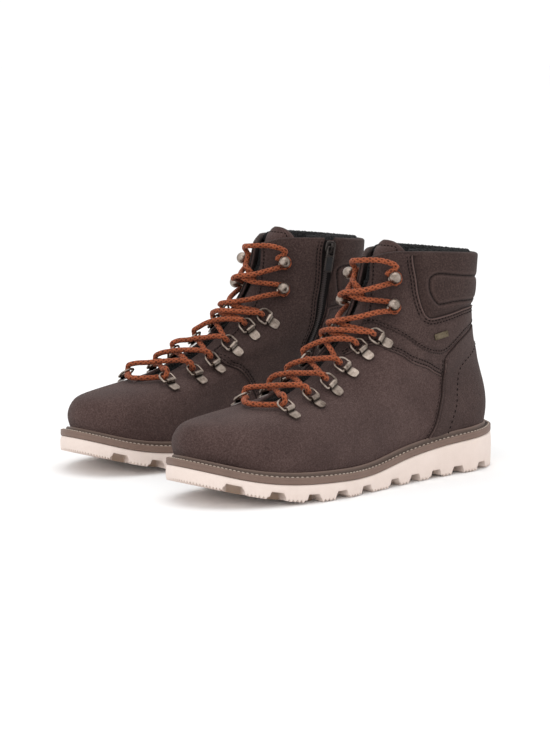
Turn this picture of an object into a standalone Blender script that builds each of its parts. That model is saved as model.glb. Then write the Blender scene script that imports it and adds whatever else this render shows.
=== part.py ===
"""A pair of ankle-high insulated hunting boots: wedge soles, nubuck uppers, padded
collars, side zips, D-ring lacing with two ball hooks on each side at the top.

Each boot is drawn in its own frame, in millimetres: x runs from the back of the heel
to the toe, y points to the outer side of the foot and z is up. place() then stands the
two boots side by side, toes to -X, with the origin on the floor between them.
"""
import math

import bmesh
import bpy
import numpy as np

MM = 0.001

# ---------------------------------------------------------------- driving dimensions (mm)
SOLE_LENGTH = 302.0
BOOT_SPACING = 164.0          # between the two heel-to-toe lines
STAGGER = 22.0                # the right boot stands this much further back
TOE_SPRING = 17.8             # how high the tip of the sole stands off the floor
SPRING_START = 215.0          # x where the sole leaves the floor
MIDSOLE_THICKNESS = 2.6
WELT_THICKNESS = 2.2
GAP = 0.3                     # between pieces that rest on each other
FEATHER_INSET = 6.5           # from the edge of the sole to the foot of the upper
SHELL = 1.6                   # nubuck of the upper
OVERLAY = 1.25                # shaft and counter panels
COLLAR_PAD = 2.6
LINING_AT, LINING = 5.2, 1.0
INSULATION_AT, INSULATION = 1.95, 1.4
LACE = 4.2
RING_WIRE = 1.8
RING_WIDTH = 11.5             # between the wire's centrelines
RING_REACH = 9.6              # from the fold of the plate to the bow of the ring
RING_LIFT = 7                 # degrees at least: the lace holds the rings a little up
BOW_HEIGHT = 6.1              # of a ring's bow over the upper, so that the lace fits under it
BALL = 9.4
ZIP_TRAVEL = 58.0
SLIDER_LIFT = 0.7             # so that the slider clears the panels beside the zip
TONGUE_HALF_WIDTH = 19.0

# edge of the sole: (x, y), a closed smooth curve
SOLE_OUTLINE = [(0, 0), (8, 22), (35, 36.5), (75, 38), (120, 42.5), (160, 49), (195, 53.5),
                (235, 50), (270, 38), (292, 20), (302, -6), (292, -30), (270, -43),
                (235, -49.5), (205, -47), (160, -36), (120, -31), (75, -34.5), (35, -35.5),
                (8, -22)]
# height of the top of the wedge along x: thick at the heel, thin under the ball
SOLE_TOP = [(0, 27), (60, 24), (110, 19.7), (160, 12.6), (200, 12.5), (240, 14.6),
            (270, 19.4), (302, 28.7)]
NOTCH_X = [32.5, 60, 85, 110, 134.6, 169, 196, 222, 251, 279]

# the upper as hoops from the foot of the upper to the rim: front x, front z, back x,
# back z, half width, how much of the hoop follows the sole (1) or the leg (0), how
# pointed its front is, centre y, rise of its sides
HOOPS = [
    (295.5, 32, 6.0, 31, 33.0, 1.00, 0.00, -3.0, 0.00),
    (298.5, 42, 3.5, 42, 33.0, 0.97, 0.00, -3.0, 0.00),
    (296.0, 51, 2.5, 52, 33.0, 0.88, 0.00, -3.0, 0.00),
    (289.0, 58, 2.5, 62, 33.0, 0.70, 0.05, -3.0, 0.00),
    (272.0, 62, 4.0, 72, 33.0, 0.45, 0.15, -3.0, 0.00),
    (248.0, 64, 6.5, 82, 33.0, 0.20, 0.30, -2.5, 0.00),
    (223.0, 67.5, 9.5, 91, 33.5, 0.00, 0.40, -1.5, 0.00),
    (196.0, 74.5, 12.5, 100, 35.0, 0.00, 0.30, -3.0, 0.00),
    (168.0, 87, 15.0, 109, 36.5, 0.00, 0.35, -4.5, 0.00),
    (148.0, 102, 17.0, 118, 37.5, 0.00, 0.55, -6.0, 0.00),
    (135.0, 117, 18.0, 128, 37.5, 0.00, 0.80, -7.0, 0.10),
    (127.0, 133, 17.5, 139, 37.5, 0.00, 1.00, -8.0, 0.35),
    (120.0, 149, 16.5, 151, 37.5, 0.00, 1.00, -8.0, 0.65),
    (116.0, 164, 16.0, 163.5, 38.0, 0.00, 1.00, -8.0, 1.00)]
# columns of a hoop from its front to its back: share of the length, half width of a
# round hoop, half width of a pointed one, rise of the side
COLUMNS = [(1.0, 0.0, 0.02, 0.0), (0.965, 0.47, 0.15, 1.0), (0.86, 0.79, 0.36, 4.0),
           (0.72, 0.95, 0.66, 4.5), (0.55, 1.0, 0.90, 4.0), (0.37, 0.985, 1.0, 3.0),
           (0.20, 0.87, 0.92, 1.5), (0.06, 0.53, 0.58, 0.5), (0.0, 0.0, 0.0, 0.0)]
SIDE_SWELL = [1.0, 1.03, 1.03, 0.99, 0.93, 0.86]   # width of the low hoops over the sole's

# throat: half gap between the facings along v (0 at the foot of the upper, 1 at the rim)
THROAT_V = 0.42
HALF_GAP = [(0.42, 0.0), (0.45, 9.0), (0.50, 12.0), (0.72, 12.0), (0.80, 9.5), (0.88, 6.5),
            (1.0, 4.0)]
SHELL_GRID = (24, [0, 0.07, 0.15, 0.24, 0.33, THROAT_V, 0.46, 0.53, 0.60, 0.68, 0.77, 0.88, 1.0])
LINING_GRID = (20, [0, 0.10, 0.24, THROAT_V, 0.46, 0.53, 0.60, 0.68, 0.77, 0.88, 1.0])

# lacing hardware from the toe up: x, z, half spacing, centre y
RINGS = [(222, 59, 29.6, -1), (195, 65, 29.6, -3), (175, 74.5, 29.0, -4),
         (157, 86.6, 27.9, -5.5), (140, 98.6, 27.5, -6.5), (124, 107.5, 33.5, -7.5)]
HOOKS = [(110.2, 130.4, 25.7, -8.2), (106.3, 151.2, 23.1, -8.2)]
BALL_HEIGHT = 10.6            # centre of the ball over the upper

# seams in side view: (x, z)
COLLAR_SEAM = [(90, 190), (88.5, 159), (87.6, 138), (86.5, 127), (84.5, 122), (80, 120.5),
               (69, 122), (58, 124), (45, 126), (29, 127.5), (-20, 130)]
SHAFT_SEAM = [(150, 124), (125, 118), (113, 112), (103, 105), (98, 100.5), (90, 96.3),
              (82, 94), (74, 93.3), (67, 95.3), (58, 100), (46, 107), (26, 113), (-20, 124)]
COUNTER_SEAM = [(95, 20), (84, 37), (78, 49), (72, 62), (68.6, 75), (68.6, 87), (66, 91.2),
                (60, 95.2), (48, 102.5), (26, 110), (-20, 121)]
ZIP_TOP, ZIP_BOTTOM = (67.9, 168.0), (84.6, 84.0)   # centre of the zip, inner side
ZIP_WIDTH = 7.0
BADGE = (74.7, 107.0)

COLOURS = {
    "nubuck": ((0.060, 0.040, 0.034), 0.85, 0.0), "nubuck_dark": ((0.050, 0.034, 0.029), 0.85, 0.0),
    "fleece": ((0.010, 0.010, 0.011), 0.95, 0.0), "wadding": ((0.25, 0.24, 0.22), 0.95, 0.0),
    "sole": ((0.78, 0.70, 0.64), 0.6, 0.0), "midsole": ((0.19, 0.13, 0.10), 0.6, 0.0),
    "welt": ((0.10, 0.078, 0.065), 0.65, 0.0), "board": ((0.35, 0.27, 0.18), 0.8, 0.0),
    "foam": ((0.05, 0.05, 0.055), 0.9, 0.0), "nickel": ((0.45, 0.41, 0.35), 0.35, 1.0),
    "lace": ((0.50, 0.15, 0.05), 0.8, 0.0), "zip": ((0.015, 0.013, 0.013), 0.6, 0.0),
    "dark_metal": ((0.16, 0.14, 0.13), 0.35, 1.0)}


# ---------------------------------------------------------------- curves and surfaces
def spline(points, t, closed=False):
    """Catmull-Rom curve through the points at the parameters t."""
    p = np.asarray(points, float)
    n = len(p)
    t = np.asarray(t, float)
    i = np.floor(t).astype(int) if closed else np.clip(np.floor(t).astype(int), 0, n - 2)
    f = (t - i)[..., None]

    def at(k):
        if closed:
            return p[k % n]
        q = p[np.clip(k, 0, n - 1)]
        q = np.where((k < 0)[..., None], 2 * p[0] - p[1], q)
        return np.where((k >= n)[..., None], 2 * p[-1] - p[-2], q)

    a, b, c, d = at(i - 1), at(i), at(i + 1), at(i + 2)
    return 0.5 * (2 * b + (c - a) * f + (2 * a - 5 * b + 4 * c - d) * f ** 2
                  + (3 * b - a - 3 * c + d) * f ** 3)


def height_along(points, x):
    """z at x on the smooth line through (x, z) points."""
    s = spline(points, np.linspace(0, len(points) - 1, 400))
    return np.interp(x, s[:, 0], s[:, 1])


def sole_edge(inset, count=400):
    """The sole's outline moved in by inset, as count points."""
    c = spline(SOLE_OUTLINE, np.linspace(0, len(SOLE_OUTLINE), count, endpoint=False), True)
    t = np.roll(c, -1, 0) - np.roll(c, 1, 0)
    t /= np.linalg.norm(t, axis=1)[:, None]
    return c + inset * np.stack([t[:, 1], -t[:, 0]], 1)


def edge_y(edge, x, outer):
    """y of the outer or inner side of an outline at x."""
    half = edge[edge[:, 1] > -2] if outer else edge[edge[:, 1] <= -2]
    half = half[np.argsort(half[:, 0])]
    return np.interp(x, half[:, 0], half[:, 1])


def sole_bottom(x):
    return TOE_SPRING * (np.maximum(np.asarray(x, float) - SPRING_START, 0)
                         / (SOLE_LENGTH - SPRING_START)) ** 1.6


def sole_top(x):
    return height_along(SOLE_TOP, x)


FOOT_OF_UPPER = MIDSOLE_THICKNESS + WELT_THICKNESS + 3.8 * GAP


def hoop_net():
    """Control points of the upper: one row for each hoop, 16 columns round from the toe."""
    edge = sole_edge(FEATHER_INSET)
    first, net = HOOPS[0], []
    for j, (fx, fz, bx, bz, half, low, point, cy, rise) in enumerate(HOOPS):
        sides = {1: [], -1: []}
        for k, (share, round_y, point_y, lift) in enumerate(COLUMNS):
            x = bx + (fx - bx) * share
            foot_x = first[2] + (first[0] - first[2]) * share
            sag = (first[3] + (first[1] - first[3]) * (x - 7) / 288.5
                   - sole_top(x) - FOOT_OF_UPPER)
            z = bz + (fz - bz) * share + lift * rise - sag * max(0, 1 - j / 7) ** 1.5
            swell = SIDE_SWELL[min(j, 5)]
            for side in (1, -1):
                if k in (0, 8):
                    y = (-6.0 if k == 0 else 0.0) * low + cy * (1 - low)
                else:
                    leg = cy + side * half * (round_y * (1 - point) + point_y * point)
                    y = edge_y(edge, foot_x, side > 0) * swell * low + leg * (1 - low)
                if side > 0 and k == 1:
                    y -= 3.2 * max(0, 1 - j / 5)      # the toe box rounds off on the outside
                if side > 0:
                    y -= 1.6 * share ** 2 * max(0, 1 - abs(j - 4) / 2.5)
                sides[side].append((x, y, z))
        net.append(sides[1] + sides[-1][7:0:-1])
    return np.array(net)


NET = hoop_net()


def upper(u, v):
    """Outside of the upper: u runs round from the toe by the outer side, v up from 0 to 1."""
    u, v = np.broadcast_arrays(np.asarray(u, float) % 1.0, np.clip(np.asarray(v, float), 0, 1))
    rows, cols, _ = NET.shape
    tv = (v * (rows - 1)).ravel()
    i = np.clip(np.floor(tv).astype(int), 0, rows - 2)
    f = (tv - i)[:, None]

    def row(r):
        r = np.clip(r, 0, rows - 1)
        tu = u.ravel() * cols
        k = np.floor(tu).astype(int)
        g = (tu - k)[:, None]
        a, b, c, d = (NET[r, (k + o) % cols] for o in (-1, 0, 1, 2))
        return 0.5 * (2 * b + (c - a) * g + (2 * a - 5 * b + 4 * c - d) * g ** 2
                      + (3 * b - a - 3 * c + d) * g ** 3)

    b, c = row(i), row(i + 1)
    a = np.where((i < 1)[:, None], 2 * b - c, row(i - 1))
    d = np.where((i > rows - 3)[:, None], 2 * c - b, row(i + 2))
    q = 0.5 * (2 * b + (c - a) * f + (2 * a - 5 * b + 4 * c - d) * f ** 2
               + (3 * b - a - 3 * c + d) * f ** 3)
    return q.reshape(u.shape + (3,))


def unit(a):
    a = np.asarray(a, float)
    return a / np.maximum(np.linalg.norm(a, axis=-1, keepdims=True), 1e-9)


def upper_normal(u, v):
    du = upper(u + 0.006, v) - upper(u - 0.006, v)
    dv = upper(u, np.clip(v + 0.006, 0, 1)) - upper(u, np.clip(v - 0.006, 0, 1))
    return unit(np.cross(du, dv))


def offset(u, v, height):
    """Point of the upper moved out along its normal."""
    return upper(u, v) + upper_normal(u, v) * height


def locate(target, weights=(1, 1, 1), start_u=None):
    """(u, v) of the upper nearest to a point; the weights choose which axes matter."""
    w = np.asarray(weights, float)
    lo, hi = start_u or (0.0, 1.0)
    span_u, span_v, cu, cv = hi - lo, 1.0, (lo + hi) / 2, 0.5
    for _ in range(7):
        us = np.linspace(cu - span_u / 2, cu + span_u / 2, 41)
        vs = np.clip(np.linspace(cv - span_v / 2, cv + span_v / 2, 41), 0, 1)
        d = (((upper(us[None], vs[:, None]) - target) * w) ** 2).sum(-1)
        r, c = np.unravel_index(d.argmin(), d.shape)
        cu, cv, span_u, span_v = us[c], vs[r], span_u / 5, span_v / 5
    return cu % 1.0, cv


def centre_y(v):
    return np.interp(v, np.linspace(0, 1, len(HOOPS)), [h[7] for h in HOOPS])


def at_half_width(v, half, side):
    """u where the upper is half mm to one side of the front line, at the height v."""
    lo, hi = 0.0, 0.2
    for _ in range(24):
        mid = (lo + hi) / 2
        y = upper(mid * side, v)[1]
        lo, hi = (mid, hi) if abs(y - centre_y(v)) < half else (lo, mid)
    return (lo + hi) / 2 * side


# ---------------------------------------------------------------- frame of the pair
def place(points, side):
    """Boot frame in mm to the common frame in metres; side is 'left' or 'right'."""
    p = np.asarray(points, float)
    half = (SOLE_LENGTH + STAGGER) / 2
    if side == "left":
        q = np.stack([half - STAGGER - p[..., 0], -BOOT_SPACING / 2 - p[..., 1], p[..., 2]], -1)
    else:
        q = np.stack([half - p[..., 0], BOOT_SPACING / 2 + p[..., 1], p[..., 2]], -1)
    return q * MM


def material(name):
    mat = bpy.data.materials.get(name)
    if mat is None:
        colour, roughness, metallic = COLOURS[name]
        mat = bpy.data.materials.new(name)
        mat.use_nodes = True
        mat.diffuse_color = (*colour, 1)
        shader = mat.node_tree.nodes["Principled BSDF"]
        shader.inputs["Base Color"].default_value = (*colour, 1)
        shader.inputs["Roughness"].default_value = roughness
        shader.inputs["Metallic"].default_value = metallic
    return mat


def make(name, side, bm, colour, pivot=None, smooth=40):
    """Turn a bmesh in boot coordinates into an object of the scene."""
    at = place(pivot, side) if pivot is not None else np.zeros(3)
    bmesh.ops.remove_doubles(bm, verts=bm.verts, dist=0.0001)
    bmesh.ops.recalc_face_normals(bm, faces=bm.faces)
    if (bm.calc_volume(signed=True) < 0) != (side == "right"):    # the right boot is mirrored
        bmesh.ops.reverse_faces(bm, faces=bm.faces)
    for v in bm.verts:
        v.co = place(v.co, side) - at
    mesh = bpy.data.meshes.new(f"{side}_{name}")
    bm.to_mesh(mesh)
    bm.free()
    mesh.shade_smooth()
    mesh.set_sharp_from_angle(angle=math.radians(smooth))
    obj = bpy.data.objects.new(f"{side}_{name}", mesh)
    obj.location = at
    mesh.materials.append(material(colour))
    bpy.context.scene.collection.objects.link(obj)
    obj.parent = bpy.data.objects[f"{side}_boot_frame"]
    return obj


def helper(name, side, bm):
    """A cutter: wire only, never rendered."""
    obj = make(name, side, bm, "foam")
    obj.hide_render = True
    obj.display_type = "WIRE"
    return obj


def boolean(obj, other, operation, self_cut=False):
    mod = obj.modifiers.new(operation.lower(), "BOOLEAN")
    mod.operation = operation
    mod.solver = "EXACT"
    mod.use_self = self_cut
    mod.object = other


# ---------------------------------------------------------------- building blocks
def add_grid(bm, points, close_u=False, close_v=False):
    """Quads over a grid of points; returns the grid of vertices."""
    rows = [[bm.verts.new(p) for p in r] for r in points]
    for i in range(len(rows) - (0 if close_v else 1)):
        a, b = rows[i], rows[(i + 1) % len(rows)]
        for j in range(len(a) - (0 if close_u else 1)):
            k = (j + 1) % len(a)
            bm.faces.new((a[j], a[k], b[k], b[j]))
    return rows


def add_loft(bm, sections):
    """A closed solid through sections that are loops of equal length, capped flat."""
    rows = add_grid(bm, sections, close_u=True)
    bm.faces.new(rows[0][::-1])
    bm.faces.new(rows[-1])
    return rows


def add_tube(bm, path, radius, sides, closed=False):
    """A round bar along a path, with its own steady frame."""
    p = np.asarray(path, float)
    if closed:
        tangent = unit(np.roll(p, -1, 0) - np.roll(p, 1, 0))
    else:
        tangent = unit(np.gradient(p, axis=0))
    across = unit(np.cross(tangent[0], (0.21, 0.35, 0.91)))
    frames = []
    for t in tangent:
        across = unit(across - t * (across @ t))
        frames.append((across, np.cross(t, across)))
    if closed:                        # share the twist of the frame over the whole loop
        end = unit(frames[-1][0] - tangent[0] * (frames[-1][0] @ tangent[0]))
        twist = math.atan2(end @ frames[0][1], end @ frames[0][0])
    sections = []
    for n, (q, (a, b)) in enumerate(zip(p, frames)):
        turn = -twist * n / len(p) if closed else 0.0
        ring = []
        for s in range(sides):
            w = 2 * math.pi * s / sides + turn
            ring.append(q + radius * (a * math.cos(w) + b * math.sin(w)))
        sections.append(ring)
    if closed:
        add_grid(bm, sections, close_u=True, close_v=True)
    else:
        add_loft(bm, sections)


def add_prism(bm, outline, origin, ax, ay, az, depth):
    """Outline points (a, b) on the axes ax, ay, pushed depth along az."""
    low = [origin + ax * a + ay * b for a, b in outline]
    add_loft(bm, [low, [p + az * depth for p in low]])


class Grid:
    """Columns and rows over the upper; above the throat it ends at the facings' edges."""

    def __init__(self, columns, rows):
        self.columns, self.rows = columns, rows
        self.spans = []
        for v in rows:
            half = np.interp(v, *zip(*HALF_GAP)) if v > THROAT_V else 0.0
            self.spans.append((at_half_width(v, half, 1), 1 + at_half_width(v, half, -1))
                              if half else (0.0, 1.0))

    def cells(self, first=0, last=None, skip=0):
        rows = range(first, len(self.rows) - 1 if last is None else last)
        return [(i, j) for i in rows for j in range(skip, self.columns - skip)]

    def sheet(self, cells, outside, inside):
        """A closed sheet over the cells, between two heights over the upper's surface."""
        bm = bmesh.new()
        verts = {}

        def vert(i, j, height):
            if self.rows[i] <= THROAT_V:
                j %= self.columns
            key = (i, j, height)
            if key not in verts:
                lo, hi = self.spans[i]
                u = lo + (hi - lo) * j / self.columns
                verts[key] = bm.verts.new(offset(u, self.rows[i], height))
            return verts[key]

        walls = {}
        for i, j in cells:
            corners = [(i, j), (i, j + 1), (i + 1, j + 1), (i + 1, j)]
            for triple in ((0, 1, 2), (0, 2, 3)):       # the same diagonal on both faces
                bm.faces.new([vert(*corners[k], outside) for k in triple])
                bm.faces.new([vert(*corners[k], inside) for k in triple[::-1]])
            for a, b in zip(corners, corners[1:] + corners[:1]):
                pair = frozenset((vert(*a, outside), vert(*b, outside)))
                walls[pair] = None if pair in walls else (a, b)
        for a, b in filter(None, walls.values()):
            bm.faces.new((vert(*b, outside), vert(*a, outside), vert(*a, inside),
                          vert(*b, inside)))
        return bm


SHELL_CELLS, LINING_CELLS = Grid(*SHELL_GRID), Grid(*LINING_GRID)


def side_prism(outline, y_from=-90.0, y_to=90.0):
    """A cutter that is an outline (x, z) in side view."""
    bm = bmesh.new()
    add_prism(bm, outline, np.array([0, y_from, 0.0]), np.array([1.0, 0, 0]),
              np.array([0, 0, 1.0]), np.array([0, 1.0, 0]), y_to - y_from)
    return bm


# ---------------------------------------------------------------- sole
def plate(inset, low, high, count=20):
    """A plate with the sole's outline moved in, between two heights that follow x."""
    edge = sole_edge(inset)
    x0, x1 = edge[:, 0].min() + 0.35, edge[:, 0].max() - 0.35
    bm = bmesh.new()
    sections = []
    for k in range(count + 1):
        x = (x0 + x1) / 2 - (x1 - x0) / 2 * math.cos(math.pi * k / count)
        ya, yb = edge_y(edge, x, True), edge_y(edge, x, False)
        sections.append([(x, ya, low(x)), (x, ya, high(x)), (x, yb, high(x)), (x, yb, low(x))])
    add_loft(bm, sections)
    return bm


def outsole(side):
    body = make("outsole", side, plate(0.0, sole_bottom, sole_top, 24), "sole")
    cut = bmesh.new()
    edge = sole_edge(0.0)
    for x in NOTCH_X:
        for outer in (True, False):
            sign = 1 if outer else -1
            y = edge_y(edge, x, outer)
            z = float(sole_bottom(x))
            wedge = [(-7.2, -4.0), (7.2, -4.0), (6.0, 1.5), (4.4, 6.0), (-4.4, 6.0), (-6.0, 1.5)]
            slope = float(sole_bottom(x + 1) - sole_bottom(x - 1)) / 2
            ax = unit((1, 0, slope))
            add_prism(cut, wedge, np.array([x, y - sign * 11.0, z]), ax, np.array([0, 0, 1.0]),
                      np.array([0, sign * 1.0, 0]), 16.0)
    boolean(body, helper("notch_cutter", side, cut), "DIFFERENCE")
    return body


def midsole(side):
    return make("midsole", side, plate(0.4, lambda x: sole_top(x) + GAP,
                                       lambda x: sole_top(x) + GAP + MIDSOLE_THICKNESS, 28),
                "midsole")


def welt(side):
    """A flat ring round the foot of the upper."""
    bm = bmesh.new()
    base = MIDSOLE_THICKNESS + 2.4 * GAP
    loops = []
    for inset, rise in ((1.0, 0), (1.0, 1), (12.0, 1), (12.0, 0)):
        pts = sole_edge(inset, 52)
        z = sole_top(np.clip(pts[:, 0], 0, SOLE_LENGTH)) + base + rise * WELT_THICKNESS
        loops.append(np.c_[pts, z])
    add_grid(bm, loops, close_u=True, close_v=True)
    return make("welt", side, bm, "welt")


def insole_board(side):
    """The stiff board inside the welt, with a steel shank's rib along the arch."""
    base = MIDSOLE_THICKNESS + 2 * GAP
    body = make("insole_board", side, plate(12.9, lambda x: sole_top(x) + base,
                                            lambda x: sole_top(x) + base + 1.5, 14), "board")
    rib = bmesh.new()
    sections = []
    for x in np.linspace(70, 150, 5):
        z = float(sole_top(x)) + base + 1.2
        sections.append([(x, -5.0, z), (x, -3.8, z + 1.2), (x, 3.8, z + 1.2), (x, 5.0, z)])
    add_loft(rib, sections)
    boolean(body, helper("shank_rib", side, rib), "UNION")
    return body


def footbed(side):
    base = MIDSOLE_THICKNESS + WELT_THICKNESS + 3.4 * GAP
    return make("footbed", side, plate(17.5, lambda x: sole_top(x) + base,
                                       lambda x: sole_top(x) + base + 3.6, 14), "foam")


# ---------------------------------------------------------------- upper
def zip_cutter(side, name, width, from_z):
    """The slot that the zip leaves in the inner side of the shaft."""
    (xt, zt), (xb, zb) = ZIP_TOP, ZIP_BOTTOM
    along = unit((xt - xb, 0, zt - zb))
    over = np.array([along[2], 0, -along[0]])
    start = np.array([xb, -75.0, zb]) + along * (from_z - zb)
    bm = bmesh.new()
    add_prism(bm, [(-width / 2, 0), (width / 2, 0), (width / 2, 110), (-width / 2, 110)],
              start, over, along, np.array([0, 1.0, 0]), 60.0)
    return helper(name, side, bm)


def over_surface(point):
    """(u, v, height) of a point over the front of the upper; u runs from -0.2 to 0.2."""
    u, v = locate(point, start_u=(-0.2, 0.2))
    u = u - 1 if u > 0.5 else u
    return np.array([u, v, (point - upper(u, v)) @ upper_normal(u, v)])


def bump_under(p, across, along, n, sign):
    """How far a plate has to stand off where the upper is hollow under it."""
    least = min(over_surface(p + across * a + along * b + n * 1.4)[2]
                for a in (-6.2, 7.3) for b in (-3.2, 3.2))
    return min(max(0.35 - least, 0.0), 1.3)


def post_points():
    """Where rings and hooks are fixed: (kind, side, point, across, along, normal)."""
    rows = [("ring", *r) for r in RINGS] + [("hook", *h) for h in HOOKS]
    spots = []
    for sign in (1, -1):
        span = (0.02, 0.35) if sign > 0 else (0.65, 0.98)
        uv = [locate((x, cy + sign * half, z), start_u=span) for _, x, z, half, cy in rows]
        line = [upper(*spot) for spot in uv]
        for k, (row, (u, v)) in enumerate(zip(rows, uv)):
            # along: up the row of hardware; across: square to it, toward the middle
            n = upper_normal(u, v)
            run = line[min(k + 1, len(line) - 1)] - line[max(k - 1, 0)]
            along = unit(run - n * (run @ n))
            across = sign * np.cross(n, along)
            p = line[k] + n * bump_under(line[k], across, along, n, sign)
            spots.append((k, (row[0], sign, p, across, along, n)))
    return [spot for _, spot in sorted(spots, key=lambda s: s[0])]


POSTS = post_points()


def shell_and_panels(side):
    """The nubuck shell and the panels sewn over it."""
    shell = make("vamp", side, SHELL_CELLS.sheet(SHELL_CELLS.cells(), 0.0, -SHELL), "nubuck")
    outside = OVERLAY + 0.35
    grid = SHELL_CELLS

    def region(lower, upper_line):
        return lower + upper_line[::-1]

    def down(line, d):
        return [(x, z - d) for x, z in line]

    # on the inner side the shaft panel reaches back to the zip, and the collar starts there
    line = [(ZIP_TOP[0] + (ZIP_BOTTOM[0] - ZIP_TOP[0]) * (ZIP_TOP[1] - z)
             / (ZIP_TOP[1] - ZIP_BOTTOM[1]), z) for z in (190, 113)]
    zip_front = helper("zip_front_block", side,
                       side_prism(line + [(97, 113), (97, 190)], -88.0, -12.0))
    shaft_outline = region(SHAFT_SEAM[:-1] + [(-30, 124)], [(150, 190), (91.5, 190)]
                           + [(x + 1.2, z - 1.6) for x, z in COLLAR_SEAM[1:6]]
                           + [(x, z - 1.8) for x, z in COLLAR_SEAM[6:]] + [(-30, 128.2)])
    quarter = make("quarter", side, grid.sheet(grid.cells(first=3), outside, 0.35), "nubuck")
    shaft_cutter = helper("quarter_cutter", side, side_prism(shaft_outline))
    boolean(shaft_cutter, zip_front, "UNION")
    below_zip = side_prism([(116, 121), (108, 71), (77, 71), (73, 88), (71, 104), (76, 119)],
                           -88.0, -12.0)
    boolean(shaft_cutter, helper("below_zip_block", side, below_zip), "UNION")
    boolean(quarter, shaft_cutter, "INTERSECT")

    collar = make("collar", side, grid.sheet(grid.cells(first=8), 0.35 + COLLAR_PAD, 0.35),
                  "nubuck_dark")
    boolean(collar, helper("collar_cutter", side,
                           side_prism(COLLAR_SEAM + [(-30, 130), (-30, 190)])), "INTERSECT")
    boolean(collar, zip_front, "DIFFERENCE")

    counter = make("heel_counter", side, grid.sheet(grid.cells(last=11), outside, 0.35), "nubuck")
    boolean(counter, helper("counter_cutter", side,
                            side_prism(COUNTER_SEAM + [(-30, 121), (-30, 20)])), "INTERSECT")

    slot = zip_cutter(side, "zip_slot_cutter", ZIP_WIDTH, ZIP_BOTTOM[1])
    for panel in (shell, quarter, collar):
        boolean(panel, slot, "DIFFERENCE")
    holes = bmesh.new()
    for kind, sign, p, across, along, n in POSTS:
        add_tube(holes, [p - n * 5.4, p + n * 4], 1.25 + GAP, 5)
    holes = helper("post_hole_cutter", side, holes)
    for panel in (shell, quarter):
        boolean(panel, holes, "DIFFERENCE")
    return [shell, quarter, collar, counter]


def insulation(side):
    cells = SHELL_CELLS.cells(first=6, last=11, skip=6)
    body = SHELL_CELLS.sheet(cells, -INSULATION_AT, -INSULATION_AT - INSULATION)
    return make("insulation", side, body, "wadding")


def lining(side):
    body = LINING_CELLS.sheet(LINING_CELLS.cells(), -LINING_AT, -LINING_AT - LINING)
    return make("lining", side, body, "fleece")


def tongue_point(s, t):
    """Middle of the tongue: s from the throat (0) to its top (1), t across in mm."""
    v = 0.37 + 0.72 * s
    vc = min(v, 1.0)
    front = upper(0.0, vc)
    up = unit(upper(0.0, vc) - upper(0.0, vc - 0.03))
    n = unit((up[2], 0, -up[0]))
    depth = np.interp(s, [0, 0.1, 0.5, 0.62, 0.8, 0.9, 1.0], [11, 13.5, 13.5, 15, 20, 25, 28])
    side = 1 if t >= 0 else -1
    edge = upper(at_half_width(vc, min(abs(t), 24), side), vc) if abs(t) > 0.1 else front
    fall = front - edge
    flat = np.interp(s, [0, 0.6, 1.0], [1.0, 0.8, 0.35])
    p = front - n * (depth + (fall @ n) * flat) - up * ((fall @ up) * flat)
    p = p + unit((-0.38, 0, 0.93)) * max(0, v - 1) * 13 * 21
    p[1] = centre_y(vc) + t
    return p, n


def tongue(side):
    """Padded tongue: thick along its middle, thin at its edges, under the facings."""
    bm = bmesh.new()
    widths = np.array([-1, -0.62, -0.34, 0, 0.34, 0.62, 1.0])
    pad = np.array([0, 0.3, 3.6, 4.6, 3.6, 0.3, 0])
    sections = []
    for s in np.linspace(0, 1, 11):
        half = TONGUE_HALF_WIDTH * (1 - 0.12 * s)
        fade = np.interp(s, [0, 0.1, 0.6, 0.75, 1], [0.2, 1, 1, 0.5, 0.3])
        top, low = [], []
        for w, h in zip(widths, pad):
            p, n = tongue_point(s, w * half)
            top.append(p + n * h * fade)
            low.append(p - n * 2.6)
        sections.append(top + low[::-1])
    add_loft(bm, sections)
    return make("tongue", side, bm, "nubuck")


# ---------------------------------------------------------------- lacing hardware
def ring_frame(post):
    """Fold of the plate, and the ring's axes: reach to the middle, width along the row."""
    kind, sign, p, across, along, n = post
    fold = p + across * 5.2 + n * 3.5
    for lift in np.radians(np.arange(RING_LIFT, 40, 1.5)):
        reach = across * math.cos(lift) + n * math.sin(lift)
        if over_surface(fold + reach * RING_REACH)[2] >= BOW_HEIGHT:
            break
    return fold, reach, along, np.cross(reach, along) * (1 if np.cross(reach, along) @ n > 0 else -1)


def ring_path(post):
    fold, reach, along, _ = ring_frame(post)
    half = RING_WIDTH / 2
    straight = RING_REACH - half * 0.8
    pts = [fold - along * half, fold, fold + along * half]
    for k in range(0, 6):
        w = math.pi * k / 5
        pts.append(fold + reach * (straight + half * 0.8 * math.sin(w)) + along * half * math.cos(w))
    return pts


def backing_strip():
    """The hidden strip behind the rivets: down one facing, round the throat, up the other."""
    outer = [over_surface(p[2])[:2] for p in POSTS if p[1] > 0][::-1]
    inner = [over_surface(p[2])[:2] for p in POSTS if p[1] < 0]
    (u0, v0), (u1, v1) = outer[-1], inner[0]
    throat = [(u0 * (1 - f) + u1 * f, min(v0, v1, THROAT_V) - 0.035 + 0.02 * abs(f - 0.5))
              for f in (0.2, 0.4, 0.5, 0.6, 0.8)]
    course = np.array(outer + throat + inner)
    course = spline(course, np.arange(2 * len(course) - 1) / 2)
    sections = []
    for k, (u, v) in enumerate(course):
        n, p = upper_normal(u, v), upper(u, v)
        a, b = course[max(k - 1, 0)], course[min(k + 1, len(course) - 1)]
        across = unit(np.cross(n, upper(*b) - upper(*a)))
        low, high = p - n * 4.2, p - n * 3.3
        sections.append([low - across * 1.6, low + across * 1.6, high + across * 1.6,
                         high - across * 1.6])
    bm = bmesh.new()
    add_loft(bm, sections)
    return bm


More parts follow.
